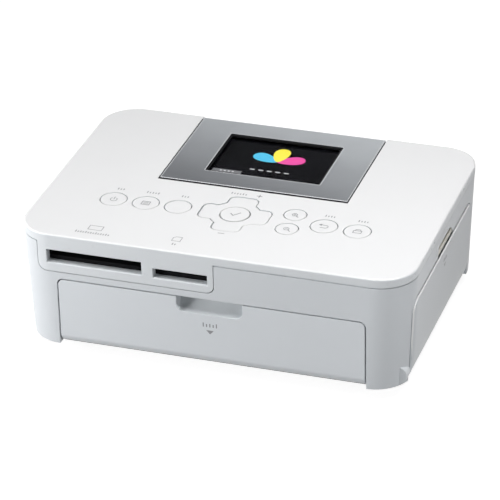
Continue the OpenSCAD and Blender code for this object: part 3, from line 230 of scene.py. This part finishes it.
FINISH = {
    "cover": ["top_cover"],
    "shell": ["main_housing"],
    "door": ["paper_door", "ink_door"],
    "key": ["power_button", "menu_button", "edit_button", "ok_button", "direction_pad",
            "zoom_in_button", "zoom_out_button", "back_button", "print_button"],
    "pan": ["base_pan"],
    "bezel": ["display_bezel"],
    "back": ["display_back"],
    "rubber": ["rubber_feet", "pad_cushion", "pickup_tyres", "platen_rubber",
               "pinch_roller"],
    "steel": ["paper_door_pins", "ink_door_pins", "display_pins", "case_screws",
              "cover_screws", "head_pivot", "platen_shaft", "pickup_shaft",
              "feed_roller", "key_domes"],
    "sheet": ["usb_socket", "chassis", "gear_bracket", "feed_motor", "ribbon_motor",
              "head_arm"],
    "black": ["lcd_module", "board_chips", "large_card_connector",
              "small_card_connector", "dc_jack", "print_head"],
    "board": ["keypad_board", "main_board", "io_board"],
    "gear": ["feed_pinion", "ribbon_pinion", "idler_gear", "upper_idler_gear",
             "feed_gear", "pickup_gear", "takeup_gear"],
    "sink": ["head_heatsink"],
    "cassette": ["ink_cassette", "takeup_spool"],
    "ribbon": ["supply_spool", "ribbon_film"],
}
for key, names in FINISH.items():
    for name in names:
        mats = nodes[name].data.materials
        if not mats:
            mats.append(MAT[key])
        for i in range(len(mats)):
            mats[i] = MAT[key]
nodes["display_window"].data.materials[0] = glass()


# ---------------------------------------------------------------- shapes
def side_x(z, out=0.0):
    """The leaning right side's x at a height."""
    return BODY_W / 2 - LEAN * (BODY_H - z) + out


def arc_points(u, v, r, a0, a1, n=10):
    step = math.radians(a1 - a0) / n
    return [(u + r * math.cos(math.radians(a0) + i * step),
             v + r * math.sin(math.radians(a0) + i * step)) for i in range(n + 1)]


def rounded(u0, u1, v0, v1, r):
    return (arc_points(u1 - r, v0 + r, r, -90, 0) + arc_points(u1 - r, v1 - r, r, 0, 90)
            + arc_points(u0 + r, v1 - r, r, 90, 180) + arc_points(u0 + r, v0 + r, r, 180, 270))


def linked(name, bm):
    me = bpy.data.meshes.new(name)
    bm.to_mesh(me)
    bm.free()
    o = bpy.data.objects.new(name, me)
    bpy.context.scene.collection.objects.link(o)
    return o


def finished(o, name, body, material):
    """Names a new piece, gives it its finish and lets it ride on a body."""
    o.name = name
    o.data.materials.append(material)
    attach(o, body)
    return o


def closed(bm, first, last):
    """Fills two outlines of points in millimetres and joins them round their edge."""
    first, last = ([bm.verts.new(Vector(p) * MM) for p in pts] for pts in (first, last))
    bm.faces.new(first)
    bm.faces.new(last[::-1])
    for i in range(len(first)):
        k = (i + 1) % len(first)
        bm.faces.new((first[i], first[k], last[k], last[i]))


def prism(axis, pts, a, b):
    """A closed shape: an outline in the two other axes, carried along one from a to b."""
    put = {"x": lambda u, v, t: (t, u, v), "y": lambda u, v, t: (u, t, v),
           "z": lambda u, v, t: (u, v, t)}[axis]
    bm = bmesh.new()
    closed(bm, [put(u, v, a) for u, v in pts], [put(u, v, b) for u, v in pts])
    bmesh.ops.recalc_face_normals(bm, faces=bm.faces)
    return linked("tool", bm)


def brick(x0, x1, y0, y1, z0, z1):
    return prism("z", [(x0, y0), (x1, y0), (x1, y1), (x0, y1)], z0, z1)


def baked(o):
    """Replaces an object's mesh by what its modifiers make of it."""
    bpy.context.view_layer.update()
    deps = bpy.context.evaluated_depsgraph_get()
    me = bpy.data.meshes.new_from_object(o.evaluated_get(deps), depsgraph=deps)
    o.modifiers.clear()
    o.data = me


def worked(o, *steps):
    """Joins shapes to an object and cuts shapes from it, in their order."""
    for op, tool in steps:
        md = o.modifiers.new("step", "BOOLEAN")
        md.operation, md.object, md.solver = op, tool, "EXACT"
    baked(o)
    for _, tool in steps:
        bpy.data.objects.remove(tool)
    return o


def shaded(bm, sharp):
    """Smooth faces, with the edges that turn by more than sharp degrees left sharp."""
    for f in bm.faces:
        f.smooth = True
    for e in bm.edges:
        e.smooth = len(e.link_faces) == 2 and e.calc_face_angle(3.0) < math.radians(sharp)


BODY_OF = {"top_cover": "case", "large_card_connector": "case",
           "small_card_connector": "case", "paper_door": "paper_door",
           "display_bezel": "display"}


def dressed(name, material, *steps):
    """A piece that stands for a CAD node: its solid with shapes joined to it and cut from it."""
    bm = bmesh.new()
    bm.from_mesh(nodes[name].data)
    bmesh.ops.remove_doubles(bm, verts=bm.verts, dist=1e-6)
    o = linked(name + "_dressed", bm)
    if "custom_normal" in o.data.attributes:
        o.data.attributes.remove(o.data.attributes["custom_normal"])
    worked(o, *steps)
    bm = bmesh.new()
    bm.from_mesh(o.data)
    bmesh.ops.remove_doubles(bm, verts=bm.verts, dist=1e-7)
    shaded(bm, 28)
    bm.to_mesh(o.data)
    bm.free()
    md = o.modifiers.new("normals", "WEIGHTED_NORMAL")
    md.keep_sharp = True
    baked(o)
    o.data.materials.clear()
    o.data.materials.append(material)
    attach(o, BODY_OF[name])
    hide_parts(name)
    return o


# ---------------------------------------------------------------- card mouths
# Straight holes, each with a small bevel in front and a rim behind. x0, x1, z0, z1 of each.
MOUTHS = ((-73.6, -29.9, 46.7, 52.8), (-24.8, -0.1, 46.3, 50.5))
MOUTH_DEPTH, MOUTH_RIM, COVER_T = 3.6, 1.2, 2.2
BEVEL, BEVEL_TOP = 0.4, 0.3
MOUTH_END = FRONT + MOUTH_DEPTH
cover_steps = []
for x0, x1, z0, z1 in MOUTHS:
    cover_steps.append(("UNION", brick(x0 - MOUTH_RIM, x1 + MOUTH_RIM, FRONT + COVER_T - 0.01,
                                       MOUTH_END, z0 - MOUTH_RIM, z1 + MOUTH_RIM)))
for x0, x1, z0, z1 in MOUTHS:
    cover_steps.append(("DIFFERENCE", brick(x0, x1, FRONT - 1, MOUTH_END + 1, z0, z1)))
    cover_steps.append(("DIFFERENCE", prism("x", [
        (FRONT - 1, z0 - BEVEL), (FRONT, z0 - BEVEL), (FRONT + BEVEL, z0), (FRONT + BEVEL, z1),
        (FRONT, z1 + BEVEL_TOP), (FRONT - 1, z1 + BEVEL_TOP)], x0 - 0.01, x1 + 0.01)))
cover = dressed("top_cover", MAT["cover"], *cover_steps)
# the faces that don't face up take a satin white darker than the top's gloss white: the satin
# finish is the moulding's, the darker tone is painted shade
cover.data.materials.append(MAT["cover_band_shaded"])
for f in cover.data.polygons:
    f.material_index = 0 if f.normal.z > 0.45 and f.center.z > 0.058 else 1
# the connectors take a black darker than moulded black: painted shade in the mouths
for name in ("large_card_connector", "small_card_connector"):
    dressed(name, MAT["mouth"],
            ("DIFFERENCE", brick(-90, 20, FRONT - 1, MOUTH_END + 0.3, 30, 60)))

# ---------------------------------------------------------------- finger pocket
# The rim fills the solid's pocket, CUT, down to a narrower one with a rounder rear end.
GAP_TOP = 45.8                                      # foot of the pocket, over the ink door
CUT_Y0, CUT_Y1, CUT_TOP, CUT_R = -17.1, 13.1, 52.8, 6.6
POCKET_Y0, POCKET_Y1, POCKET_TOP = -13.0, 13.4, 51.4
FRONT_R, REAR_R, REAR_FOOT = 2.2, 10, 26.1          # REAR_FOOT: where that arc starts, degrees


def side_slab(name, outline, inner_x, out, material):
    """A piece of the case from a flat inner face to one that leans with the right side."""
    bm = bmesh.new()
    closed(bm, [(inner_x, y, z) for y, z in outline],
           [(side_x(z, out), y, z) for y, z in outline])
    bmesh.ops.recalc_face_normals(bm, faces=bm.faces)
    bmesh.ops.triangulate(bm, faces=bm.faces)
    finished(linked(name, bm), name, "case", material)


side_slab("finger_pocket_rim",
          [(CUT_Y0, GAP_TOP), (CUT_Y0, CUT_TOP)]
          + arc_points(CUT_Y1 - CUT_R, CUT_TOP - CUT_R, CUT_R, 90, 0, 12)
          + [(CUT_Y1, GAP_TOP)]
          + arc_points(POCKET_Y1 - REAR_R, POCKET_TOP - REAR_R, REAR_R, REAR_FOOT, 90, 14)
          + arc_points(POCKET_Y0 + FRONT_R, POCKET_TOP - FRONT_R, FRONT_R, 90, 180, 8)
          + [(POCKET_Y0, GAP_TOP)], 81.3, 0.02, MAT["shell_plain"])
# pale cream strip along the pocket's floor: painted light on the door's top edge there
side_slab("finger_pocket_strip", [(-12.4, 45.9), (12.4, 45.9), (12.4, 48.4), (-12.4, 48.4)],
          81.5, -0.5, surface("pocket_painted_light", (0.84, 0.80, 0.69), 0.35, rough_vary=0.008,
                              grain=300.0, bump=0.0000006, edge=0.0))

# ---------------------------------------------------------------- ink door's skin
# It stands out from the housing, with a bevelled edge, and fades into the door at its foot. Its
# face is darker than the paper door, as painted shade, and its top and front bevels take a white
# that is a painted highlight.
DOOR_Y0, DOOR_Y1, DOOR_FOOT, INK_TOP, DOOR_R = -51.2, 44.4, 11.2, 45.2, 5.5
SIDE_R = 16.5
FADE = 5.8
ACROSS = (0.0, 0.012, 0.024, 0.036, 0.05, 0.2, 0.5, 0.8, 1.0)
LEVELS = (DOOR_FOOT, 13.0, 15.0, 17.0, 25.0, 33.0)


def case_x(y, z, out):
    """The right side's x, round towards the front and rear corners."""
    past = max(0.0, abs(y) - (BODY_D / 2 - SIDE_R))
    return side_x(z, out) - SIDE_R + math.sqrt(SIDE_R ** 2 - past ** 2)


def door_rows(inset, out, faded=True):
    """Rows of points over the door, its edge moved in by inset and its face out by out."""
    y0, y1, top, r = DOOR_Y0 + inset, DOOR_Y1 - inset, INK_TOP - inset, DOOR_R - inset
    levels = [(z, 0.0) for z in (*LEVELS, top - r)]
    levels += [(top - r + r * math.sin(math.radians(a)), r * (1 - math.cos(math.radians(a))))
               for a in range(9, 91, 9)]
    rows = []
    for z, cut in levels:
        k = min(1.0, max(0.0, (z - DOOR_FOOT) / FADE)) if faded else 1.0
        ya, yb = y0 + cut, y1 - cut
        rows.append([(case_x(ya + (yb - ya) * t, z, out * k), ya + (yb - ya) * t, z)
                     for t in ACROSS])
    return rows


def skin(name, layers, body, material):
    """A thin closed piece from grids of points: each layer is joined to the next round its
    edge, and the first and last are filled."""
    bm = bmesh.new()
    made = [[[bm.verts.new(Vector(p) * MM) for p in row] for row in rows] for rows in layers]
    for grid in (made[0], made[-1]):
        for r0, r1 in zip(grid, grid[1:]):
            for a, b, c, d in zip(r0, r0[1:], r1[1:], r1):
                bm.faces.new((a, b, c, d))
    loops = [g[0] + [r[-1] for r in g[1:]] + g[-1][-2::-1] + [r[0] for r in g[-2:0:-1]]
             for g in made]
    for la, lb in zip(loops, loops[1:]):
        for i in range(len(la)):
            k = (i + 1) % len(la)
            bm.faces.new((la[i], la[k], lb[k], lb[i]))
    bmesh.ops.delete(bm, geom=[v for v in bm.verts if not v.link_faces], context="VERTS")
    bmesh.ops.recalc_face_normals(bm, faces=bm.faces)
    bmesh.ops.triangulate(bm, faces=bm.faces)
    shaded(bm, 20)
    return finished(linked(name, bm), name, body, material)


# its face takes the darker white: painted shade
door_skin = skin("ink_door_skin", (door_rows(0.0, -0.6, False), door_rows(0.0, 0.06),
                                   door_rows(0.46, 0.56)), "ink_door", MAT["door_side_shade"])
# the bevels along the top and front edges take a white: a painted highlight
door_skin.data.materials.append(MAT["door_edge_highlight"])
for f in door_skin.data.polygons:
    if f.normal.x > 0.3 and f.center.z > 0.02 and (f.normal.z > 0.3 or f.normal.y < -0.5):
        f.material_index = 1

# ---------------------------------------------------------------- paper door's finger notch
# A round trough with rounded lower corners. The brick fills the solid's own notch first.
NOTCH_X, NOTCH_W, NOTCH_H, NOTCH_R, DOOR_TOP = 0.45, 30.0, 7.0, 3.2, 38.6
n0, n1 = NOTCH_X - NOTCH_W / 2, NOTCH_X + NOTCH_W / 2
trough = worked(prism("x", arc_points(FRONT, DOOR_TOP + 0.2, NOTCH_H + 0.2, 0, 360, 96)[:-1],
                      n0 - 1, n1 + 1),
                ("INTERSECT", prism("y", rounded(n0, n1, DOOR_TOP - NOTCH_H,
                                                 DOOR_TOP + NOTCH_H, NOTCH_R),
                                    FRONT - 9, FRONT + 9)))
dressed("paper_door", MAT["door"],
        ("UNION", brick(n0 + 0.05, n1 - 0.05, FRONT + HAIR, FRONT + 6.9, 31.9, 38.19)),
        ("DIFFERENCE", trough))

# ---------------------------------------------------------------- screen panel's rear edge
# Squarer than the solid's.
PANEL_W, PANEL_Y0, PANEL_GAP = 87.2, -0.8, 0.6
half = PANEL_W / 2
EDGE_Y, EDGE_Z, EDGE_R = 61.5, 58.5, 2.0
edge = ([(57.0, BODY_H - HAIR), (EDGE_Y, BODY_H - HAIR)]
        + arc_points(EDGE_Y, EDGE_Z, EDGE_R - HAIR, 80, 10, 6)
        + [(REAR - HAIR, EDGE_Z), (REAR - HAIR, 54.0), (62.5, 54.0), (61.0, 57.0), (58.5, 59.4),
           (57.0, 59.8)])
rear = worked(prism("x", edge, -half + HAIR, half - HAIR),
              ("INTERSECT", prism("z", rounded(-half + HAIR, half - HAIR, 0, REAR - HAIR, 1.8),
                                  50, 62)))
dressed("display_bezel", MAT["bezel"], ("UNION", rear))

# ---------------------------------------------------------------- printed marks
MARK_T = 0.03


def flat(name, outlines, put, body, material):
    """Thin printed shapes. put maps a drawing point and a height to a point in millimetres."""
    bm = bmesh.new()
    for pts in outlines:
        closed(bm, [put(x, y, MARK_T) for x, y in pts], [put(x, y, 0.0) for x, y in pts])
    bmesh.ops.recalc_face_normals(bm, faces=bm.faces)
    bmesh.ops.triangulate(bm, faces=bm.faces)
    finished(linked(name, bm), name, body, material)


def arc(x, y, r, w, a0, a1, n=24):
    """Band of width w along a circle, as a strip of four-cornered pieces."""
    inner, outer = (arc_points(x, y, q, a0, a1, n) for q in (r - w / 2, r + w / 2))
    return [[inner[i], outer[i], outer[i + 1], inner[i + 1]] for i in range(n)]


def stroke(*pts, w=0.3):
    """Line through points, drawn with width w."""
    out = []
    for (x0, y0), (x1, y1) in zip(pts, pts[1:]):
        d = Vector((x1 - x0, y1 - y0)).normalized() * w / 2
        n = Vector((-d.y, d.x))
        out.append([(x0 - d.x - n.x, y0 - d.y - n.y), (x1 + d.x - n.x, y1 + d.y - n.y),
                    (x1 + d.x + n.x, y1 + d.y + n.y), (x0 - d.x + n.x, y0 - d.y + n.y)])
    return out


def rect(x, y, w, h):
    return [(x - w / 2, y - h / 2), (x + w / 2, y - h / 2), (x + w / 2, y + h / 2),
            (x - w / 2, y + h / 2)]


def frame_lines(x, y, w, h, line=0.3):
    a, b = w / 2, h / 2
    return stroke((x - a, y - b), (x + a, y - b), (x + a, y + b), (x - a, y + b),
                  (x - a, y - b), w=line)


def ticks(x, y, width, tall, pitch=1.15):
    """A row of short strokes of uneven height, centred, where the object has words."""
    n = max(2, int(width / pitch))
    out = []
    for i in range(n):
        h = tall * (1.0, 0.72, 0.86, 0.72)[(i * 3) % 4]
        out.append(rect(x + (i - (n - 1) / 2) * pitch, y + (h - tall) / 2, 0.5, h))
    return out


def on_top(x, y, h):
    return (x, y, BODY_H + 0.005 + h)


def on_front(x, z, h):
    return (x, FRONT - 0.005 - h, z)


def on_side(y, z, h):
    """On the ink door's skin."""
    return (side_x(z, 0.59 + h), y, z)


KEY_Y = FRONT + 38.7
KEYS = {"power": (-56.25, KEY_Y - 0.4), "menu": (-41.35, KEY_Y),
        "zoom_in": (25.3, FRONT + 45.8), "zoom_out": (25.5, FRONT + 32.7),
        "back": (40.3, KEY_Y + 0.5), "print": (55.5, KEY_Y), "ok": (-0.3, FRONT + 39.4)}


def on_key(key):
    """In the shallow dish of a button; the confirm button is flat."""
    cx, cy = KEYS[key]

    def put(x, y, h):
        if key == "ok":
            return (cx + x, cy + y, BODY_H + 0.004 + h)
        dish = max(0.0, 0.12 - (x * x + y * y) / 80.0)
        return (cx + x, cy + y, BODY_H - 0.05 - dish + 0.006 + h)
    return put


legend = ink("legend_grey", (0.20, 0.205, 0.22))
faint = ink("legend_pale", (0.26, 0.265, 0.28))

flat("power_mark", arc(0, 0, 1.5, 0.3, 125, 415) + stroke((0, 0.2), (0, 2.1), w=0.32),
     on_key("power"), "power_button", legend)
flat("menu_mark", frame_lines(0, 0, 3.6, 3.0) + stroke((-1.1, 0.6), (1.1, 0.6), w=0.25)
     + stroke((-1.1, -0.5), (1.1, -0.5), w=0.25), on_key("menu"), "menu_button", legend)
for k, plus in (("zoom_in", True), ("zoom_out", False)):
    marks = arc(-0.3, 0.3, 1.15, 0.28, 0, 360) + stroke((0.6, -0.6), (1.7, -1.7), w=0.4)
    marks += stroke((-0.9, 0.3), (0.3, 0.3), w=0.22)
    if plus:
        marks += stroke((-0.3, -0.3), (-0.3, 0.9), w=0.22)
    flat(k + "_mark", marks, on_key(k), k + "_button", legend)
flat("back_mark", arc(0.6, 0, 1.2, 0.3, -90, 90) + stroke((0.6, 1.2), (-1.6, 1.2))
     + stroke((0.6, -1.2), (-1.4, -1.2)) + [[(-1.3, 2.0), (-2.6, 1.2), (-1.3, 0.4)]],
     on_key("back"), "back_button", legend)
flat("print_mark", frame_lines(0, -0.3, 3.6, 2.0)
     + stroke((-1.1, 0.7), (-1.1, 1.8), (1.1, 1.8), (1.1, 0.7), w=0.26),
     on_key("print"), "print_button", legend)
flat("confirm_mark", stroke((-1.9, 0.1), (-0.5, -1.4), (2.1, 1.6), w=0.42), on_key("ok"),
     "ok_button", legend)

marks = []
for x, y, w in ((-56.2, -15.4, 4.4), (-41.3, -15.0, 6.6), (-26.4, -14.6, 5.0),
                (40.4, -14.9, 5.4), (55.6, -15.6, 6.2), (-4.4, -5.6, 9.0)):
    marks += ticks(x, y, w, 1.6, 1.3)
# plus and minus behind and in front of the pad
marks += stroke((3.9, -5.5), (6.1, -5.5), w=0.42) + stroke((5.0, -6.6), (5.0, -4.4), w=0.42)
marks += stroke((-1.9, -42.4), (0.7, -42.4), w=0.42)
flat("cover_legend", marks, on_top, "case", faint)
# a card's outline over each mouth
card = frame_lines(-54.3, -52.6, 6.2, 3.6, 0.32)
card += stroke((-19.0, -54.3), (-19.0, -51.6), (-17.9, -50.6), (-15.2, -50.6),
               (-15.2, -54.3), (-19.0, -54.3), w=0.32)
card += ticks(-54.3, -57.2, 17.0, 1.7) + ticks(-17.0, -57.0, 3.4, 1.7)
flat("card_legend", card, on_top, "case", faint)
flat("paper_door_mark", [[(-1.2, 24.0), (0.5, 22.1), (2.2, 24.0)]]
     + ticks(0.5, 26.6, 8.0, 2.0, 1.5), on_front, "paper_door", faint)
flat("ink_door_mark", [[(-2.9, 37.6), (-1.6, 35.9), (-0.3, 37.6)]]
     + ticks(-1.6, 40.2, 7.0, 1.8, 1.5), on_side, "ink_door", faint)

# ---------------------------------------------------------------- screen panel's trim
# Dark strips of painted shade in the gap round the panel, a mask and a bright ring of painted
# highlight round its window, a dark strip of painted shade and a bright strip of painted
# highlight along its front edge, and bright strips of painted highlight along its side edges.
WINDOW_X, WINDOW_Y, WINDOW_W, WINDOW_D = 0.4, 31.0, 53.8, 38.0
GAP_SHADE_Z0, GAP_SHADE_Z1 = 58.6, 60.42
MASK_Z0, MASK_Z1 = 59.6, 60.3
MASK_SIDE, MASK_FRONT, MASK_REAR = 1.0, 0.6, 1.4
outer, near_end = half + PANEL_GAP - 0.04, PANEL_Y0 - 0.06
# dark strips in the gap round the panel: painted shade
finished(brick(-outer, outer, PANEL_Y0 - PANEL_GAP + 0.04, near_end, GAP_SHADE_Z0, GAP_SHADE_Z1),
         "panel_gap_shade_front", "case", MAT["mask_and_shade"])
for part, sx in (("left", -1), ("right", 1)):
    x0, x1 = sorted((sx * (half + 0.06), sx * outer))
    finished(brick(x0, x1, near_end, REAR - 3, GAP_SHADE_Z0, GAP_SHADE_Z1),
             "panel_gap_shade_" + part, "case", MAT["mask_and_shade"])
wx0, wx1 = WINDOW_X - WINDOW_W / 2, WINDOW_X + WINDOW_W / 2
wy0, wy1 = WINDOW_Y - WINDOW_D / 2, WINDOW_Y + WINDOW_D / 2
for part, box in (("left", (wx0, wx0 + MASK_SIDE, wy0, wy1)),
                  ("right", (wx1 - MASK_SIDE, wx1, wy0, wy1)),
                  ("front", (wx0 + MASK_SIDE, wx1 - MASK_SIDE, wy0, wy0 + MASK_FRONT)),
                  ("rear", (wx0 + MASK_SIDE, wx1 - MASK_SIDE, wy1 - MASK_REAR, wy1))):
    finished(brick(*box, MASK_Z0, MASK_Z1), "window_mask_" + part, "display", MAT["mask_and_shade"])
PANEL_R = 1.7
# on the round of the front edge: a dark strip of painted shade and a bright strip of painted
# highlight
for part, a0, a1, material in (("shade", 170, 112, "mask_and_shade"), ("light", 112, 96, "bright")):
    v, w = PANEL_Y0 + PANEL_R, BODY_H - PANEL_R
    strip = prism("x", arc_points(v, w, 1.66, a1, a0, 8) + arc_points(v, w, 1.725, a0, a1, 8),
                  -half + 0.05, half - 0.05)
    finished(strip, "panel_front_" + part, "display", MAT[material])
# bright strips along the panel's side edges: painted highlights
flat("panel_edge_lights", [rect(sx * (half - 0.2), WINDOW_Y, 0.3, 60.0) for sx in (-1, 1)],
     on_top, "display", MAT["bright"])
# bright ring round the window: a painted highlight
flat("window_edge", frame_lines(WINDOW_X, WINDOW_Y, WINDOW_W + 0.3, WINDOW_D + 0.3, 0.32),
     on_top, "display", MAT["bright"])

# ---------------------------------------------------------------- picture on the screen
SCREEN_Z = BODY_H - 2.5


def on_screen(lift):
    def put(x, y, h):
        return (WINDOW_X + x, WINDOW_Y + y, SCREEN_Z + lift + h)
    return put


dark = surface("screen_black", (0.003, 0.003, 0.004), 0.3, vary=0.3, edge=0.0,
               bump=0.000001, spec=0.0)
flat("screen_field", [rect(0, 0, 55.0, 39.0)], on_screen(0.01), "display", dark)


def petal(cx, cy, a, length, width, n=28):
    """A leaf shape from a centre out, at angle a."""
    out = []
    ca, sa = math.cos(math.radians(a)), math.sin(math.radians(a))
    for i in range(n):
        t = 2 * math.pi * i / n
        u = length / 2 * (1 + math.cos(t))
        v = width / 2 * math.sin(t) * (0.75 + 0.25 * math.cos(t))
        out.append((cx + u * ca - v * sa, cy + u * sa + v * ca))
    return out


# three leaves of colour round a common foot, over a bar and a row of ticks
LEAVES = (("cyan", (0.02, 0.52, 0.82), 158), ("magenta", (0.86, 0.02, 0.34), 22),
          ("yellow", (1.0, 0.86, 0.02), 90))
for i, (name, rgb, turn) in enumerate(LEAVES):
    flat("screen_%s_leaf" % name, [petal(0.6, 1.2, turn, 13.0, 9.6)],
         on_screen(0.05 + 0.02 * i), "display", glow("screen_" + name, rgb, 1.0))
flat("screen_bar", [rect(-18.6, -13.0, 13.6, 2.6)], on_screen(0.05), "display",
     glow("screen_grey", (0.13, 0.13, 0.14), 1.0))
flat("screen_bar_dots", [rect(-21.4 + 1.9 * i, -13.0, 0.9, 0.9) for i in range(4)],
     on_screen(0.1), "display", glow("screen_pale", (0.75, 0.75, 0.77), 0.8))
flat("screen_ticks", [rect(-8.0 + 4.0 * i, -8.4, 2.2, 0.7) for i in range(5)],
     on_screen(0.05), "display", glow("screen_white", (0.85, 0.85, 0.87), 0.8))


# ---------------------------------------------------------------- floor, lights, camera
def seen(nt):
    """1 for rays from the camera, through clear pieces and off glossy ones, else 0."""
    path = nt.nodes.new("ShaderNodeLightPath")
    eye = calc(nt, "MAXIMUM", path.outputs["Is Camera Ray"],
               path.outputs["Is Transmission Ray"])
    return calc(nt, "MAXIMUM", eye, path.outputs["Is Glossy Ray"])


# the eye sees the floor whiter than it lights the part, and the part's shadow stays on it
FLOOR_HALF, FLOOR_GLOW = 6.0, 0.9
floor_mesh = bpy.data.meshes.new("floor")
floor_mesh.from_pydata([(x * FLOOR_HALF, y * FLOOR_HALF, 0)
                        for x, y in ((-1, -1), (1, -1), (1, 1), (-1, 1))], [], [(0, 1, 2, 3)])
floor = bpy.data.objects.new("floor", floor_mesh)
bpy.context.scene.collection.objects.link(floor)
floor_mat, fnt, fb = tree("floor_pale")
fb.inputs["Base Color"].default_value = (0.30, 0.30, 0.30, 1)
fb.inputs["Roughness"].default_value = 0.9
fb.inputs["Specular IOR Level"].default_value = 0.0
fb.inputs["Emission Color"].default_value = (1, 1, 1, 1)
fnt.links.new(calc(fnt, "MULTIPLY", seen(fnt), FLOOR_GLOW), fb.inputs["Emission Strength"])
floor_mesh.materials.append(floor_mat)

# a white backdrop that adds no light to the part
world = bpy.data.worlds.new("studio")
bpy.context.scene.world = world
world.use_nodes = True
wnt = world.node_tree
backdrop = wnt.nodes["Background"]
backdrop.inputs["Color"].default_value = (1, 1, 1, 1)
wnt.links.new(seen(wnt), backdrop.inputs["Strength"])

# name, size in metres, power in watts, place
LAMPS = (
    ("overhead", 1.2, 2.5, (-0.05, 0.16, 1.4)),
    ("right_edge_high", 0.25, 1.35, (0.12, -0.12, 0.5)),
    ("key_right", 0.25, 0.75, (0.24, -0.08, 0.5)),
    ("left_grazing", 0.4, 2.5, (-0.75, -0.25, 0.35)),
    ("left_low", 0.2, 0.66, (-0.6, -0.3, 0.12)),
    ("rear_low", 0.4, 0.5, (-0.25, 0.9, 0.12)),
    ("front_left_close", 0.12, 0.72, (-0.3, -0.3, 0.12)),
    ("corner_close", 0.1, 0.17, (0.25, -0.2, 0.1)),
)
AIM = Vector((0, 0, 0.03))
for name, size, power, at in LAMPS:
    lamp = bpy.data.lights.new(name, "AREA")
    lamp.shape = "RECTANGLE"
    lamp.size = lamp.size_y = size
    lamp.energy = power
    o = bpy.data.objects.new(name, lamp)
    o.location = at
    o.visible_camera = False
    o.rotation_euler = (AIM - Vector(at)).to_track_quat("-Z", "Y").to_euler()
    bpy.context.scene.collection.objects.link(o)

# the camera stands where the photograph was taken; its focal length is in image pixels
FOCAL, IMAGE, SENSOR = 2977.64, 500.0, 36.0
cam_data = bpy.data.cameras.new("camera")
cam = bpy.data.objects.new("camera", cam_data)
bpy.context.scene.collection.objects.link(cam)
bpy.context.scene.camera = cam
cam_data.sensor_width = SENSOR
cam_data.lens = SENSOR * FOCAL / IMAGE
cam_data.clip_end = 100.0
right = Vector((0.95044692, 0.31012038, -0.0218174))
up = Vector((-0.13176851, 0.4654135, 0.87522987))
back = Vector((0.28158073, -0.82898469, 0.48321493))
cam.matrix_world = Matrix((
    (right.x, up.x, back.x, 0.373431), (right.y, up.y, back.y, -1.105186),
    (right.z, up.z, back.z, 0.673748), (0, 0, 0, 1)))

bpy.context.scene.view_settings.view_transform = "Standard"
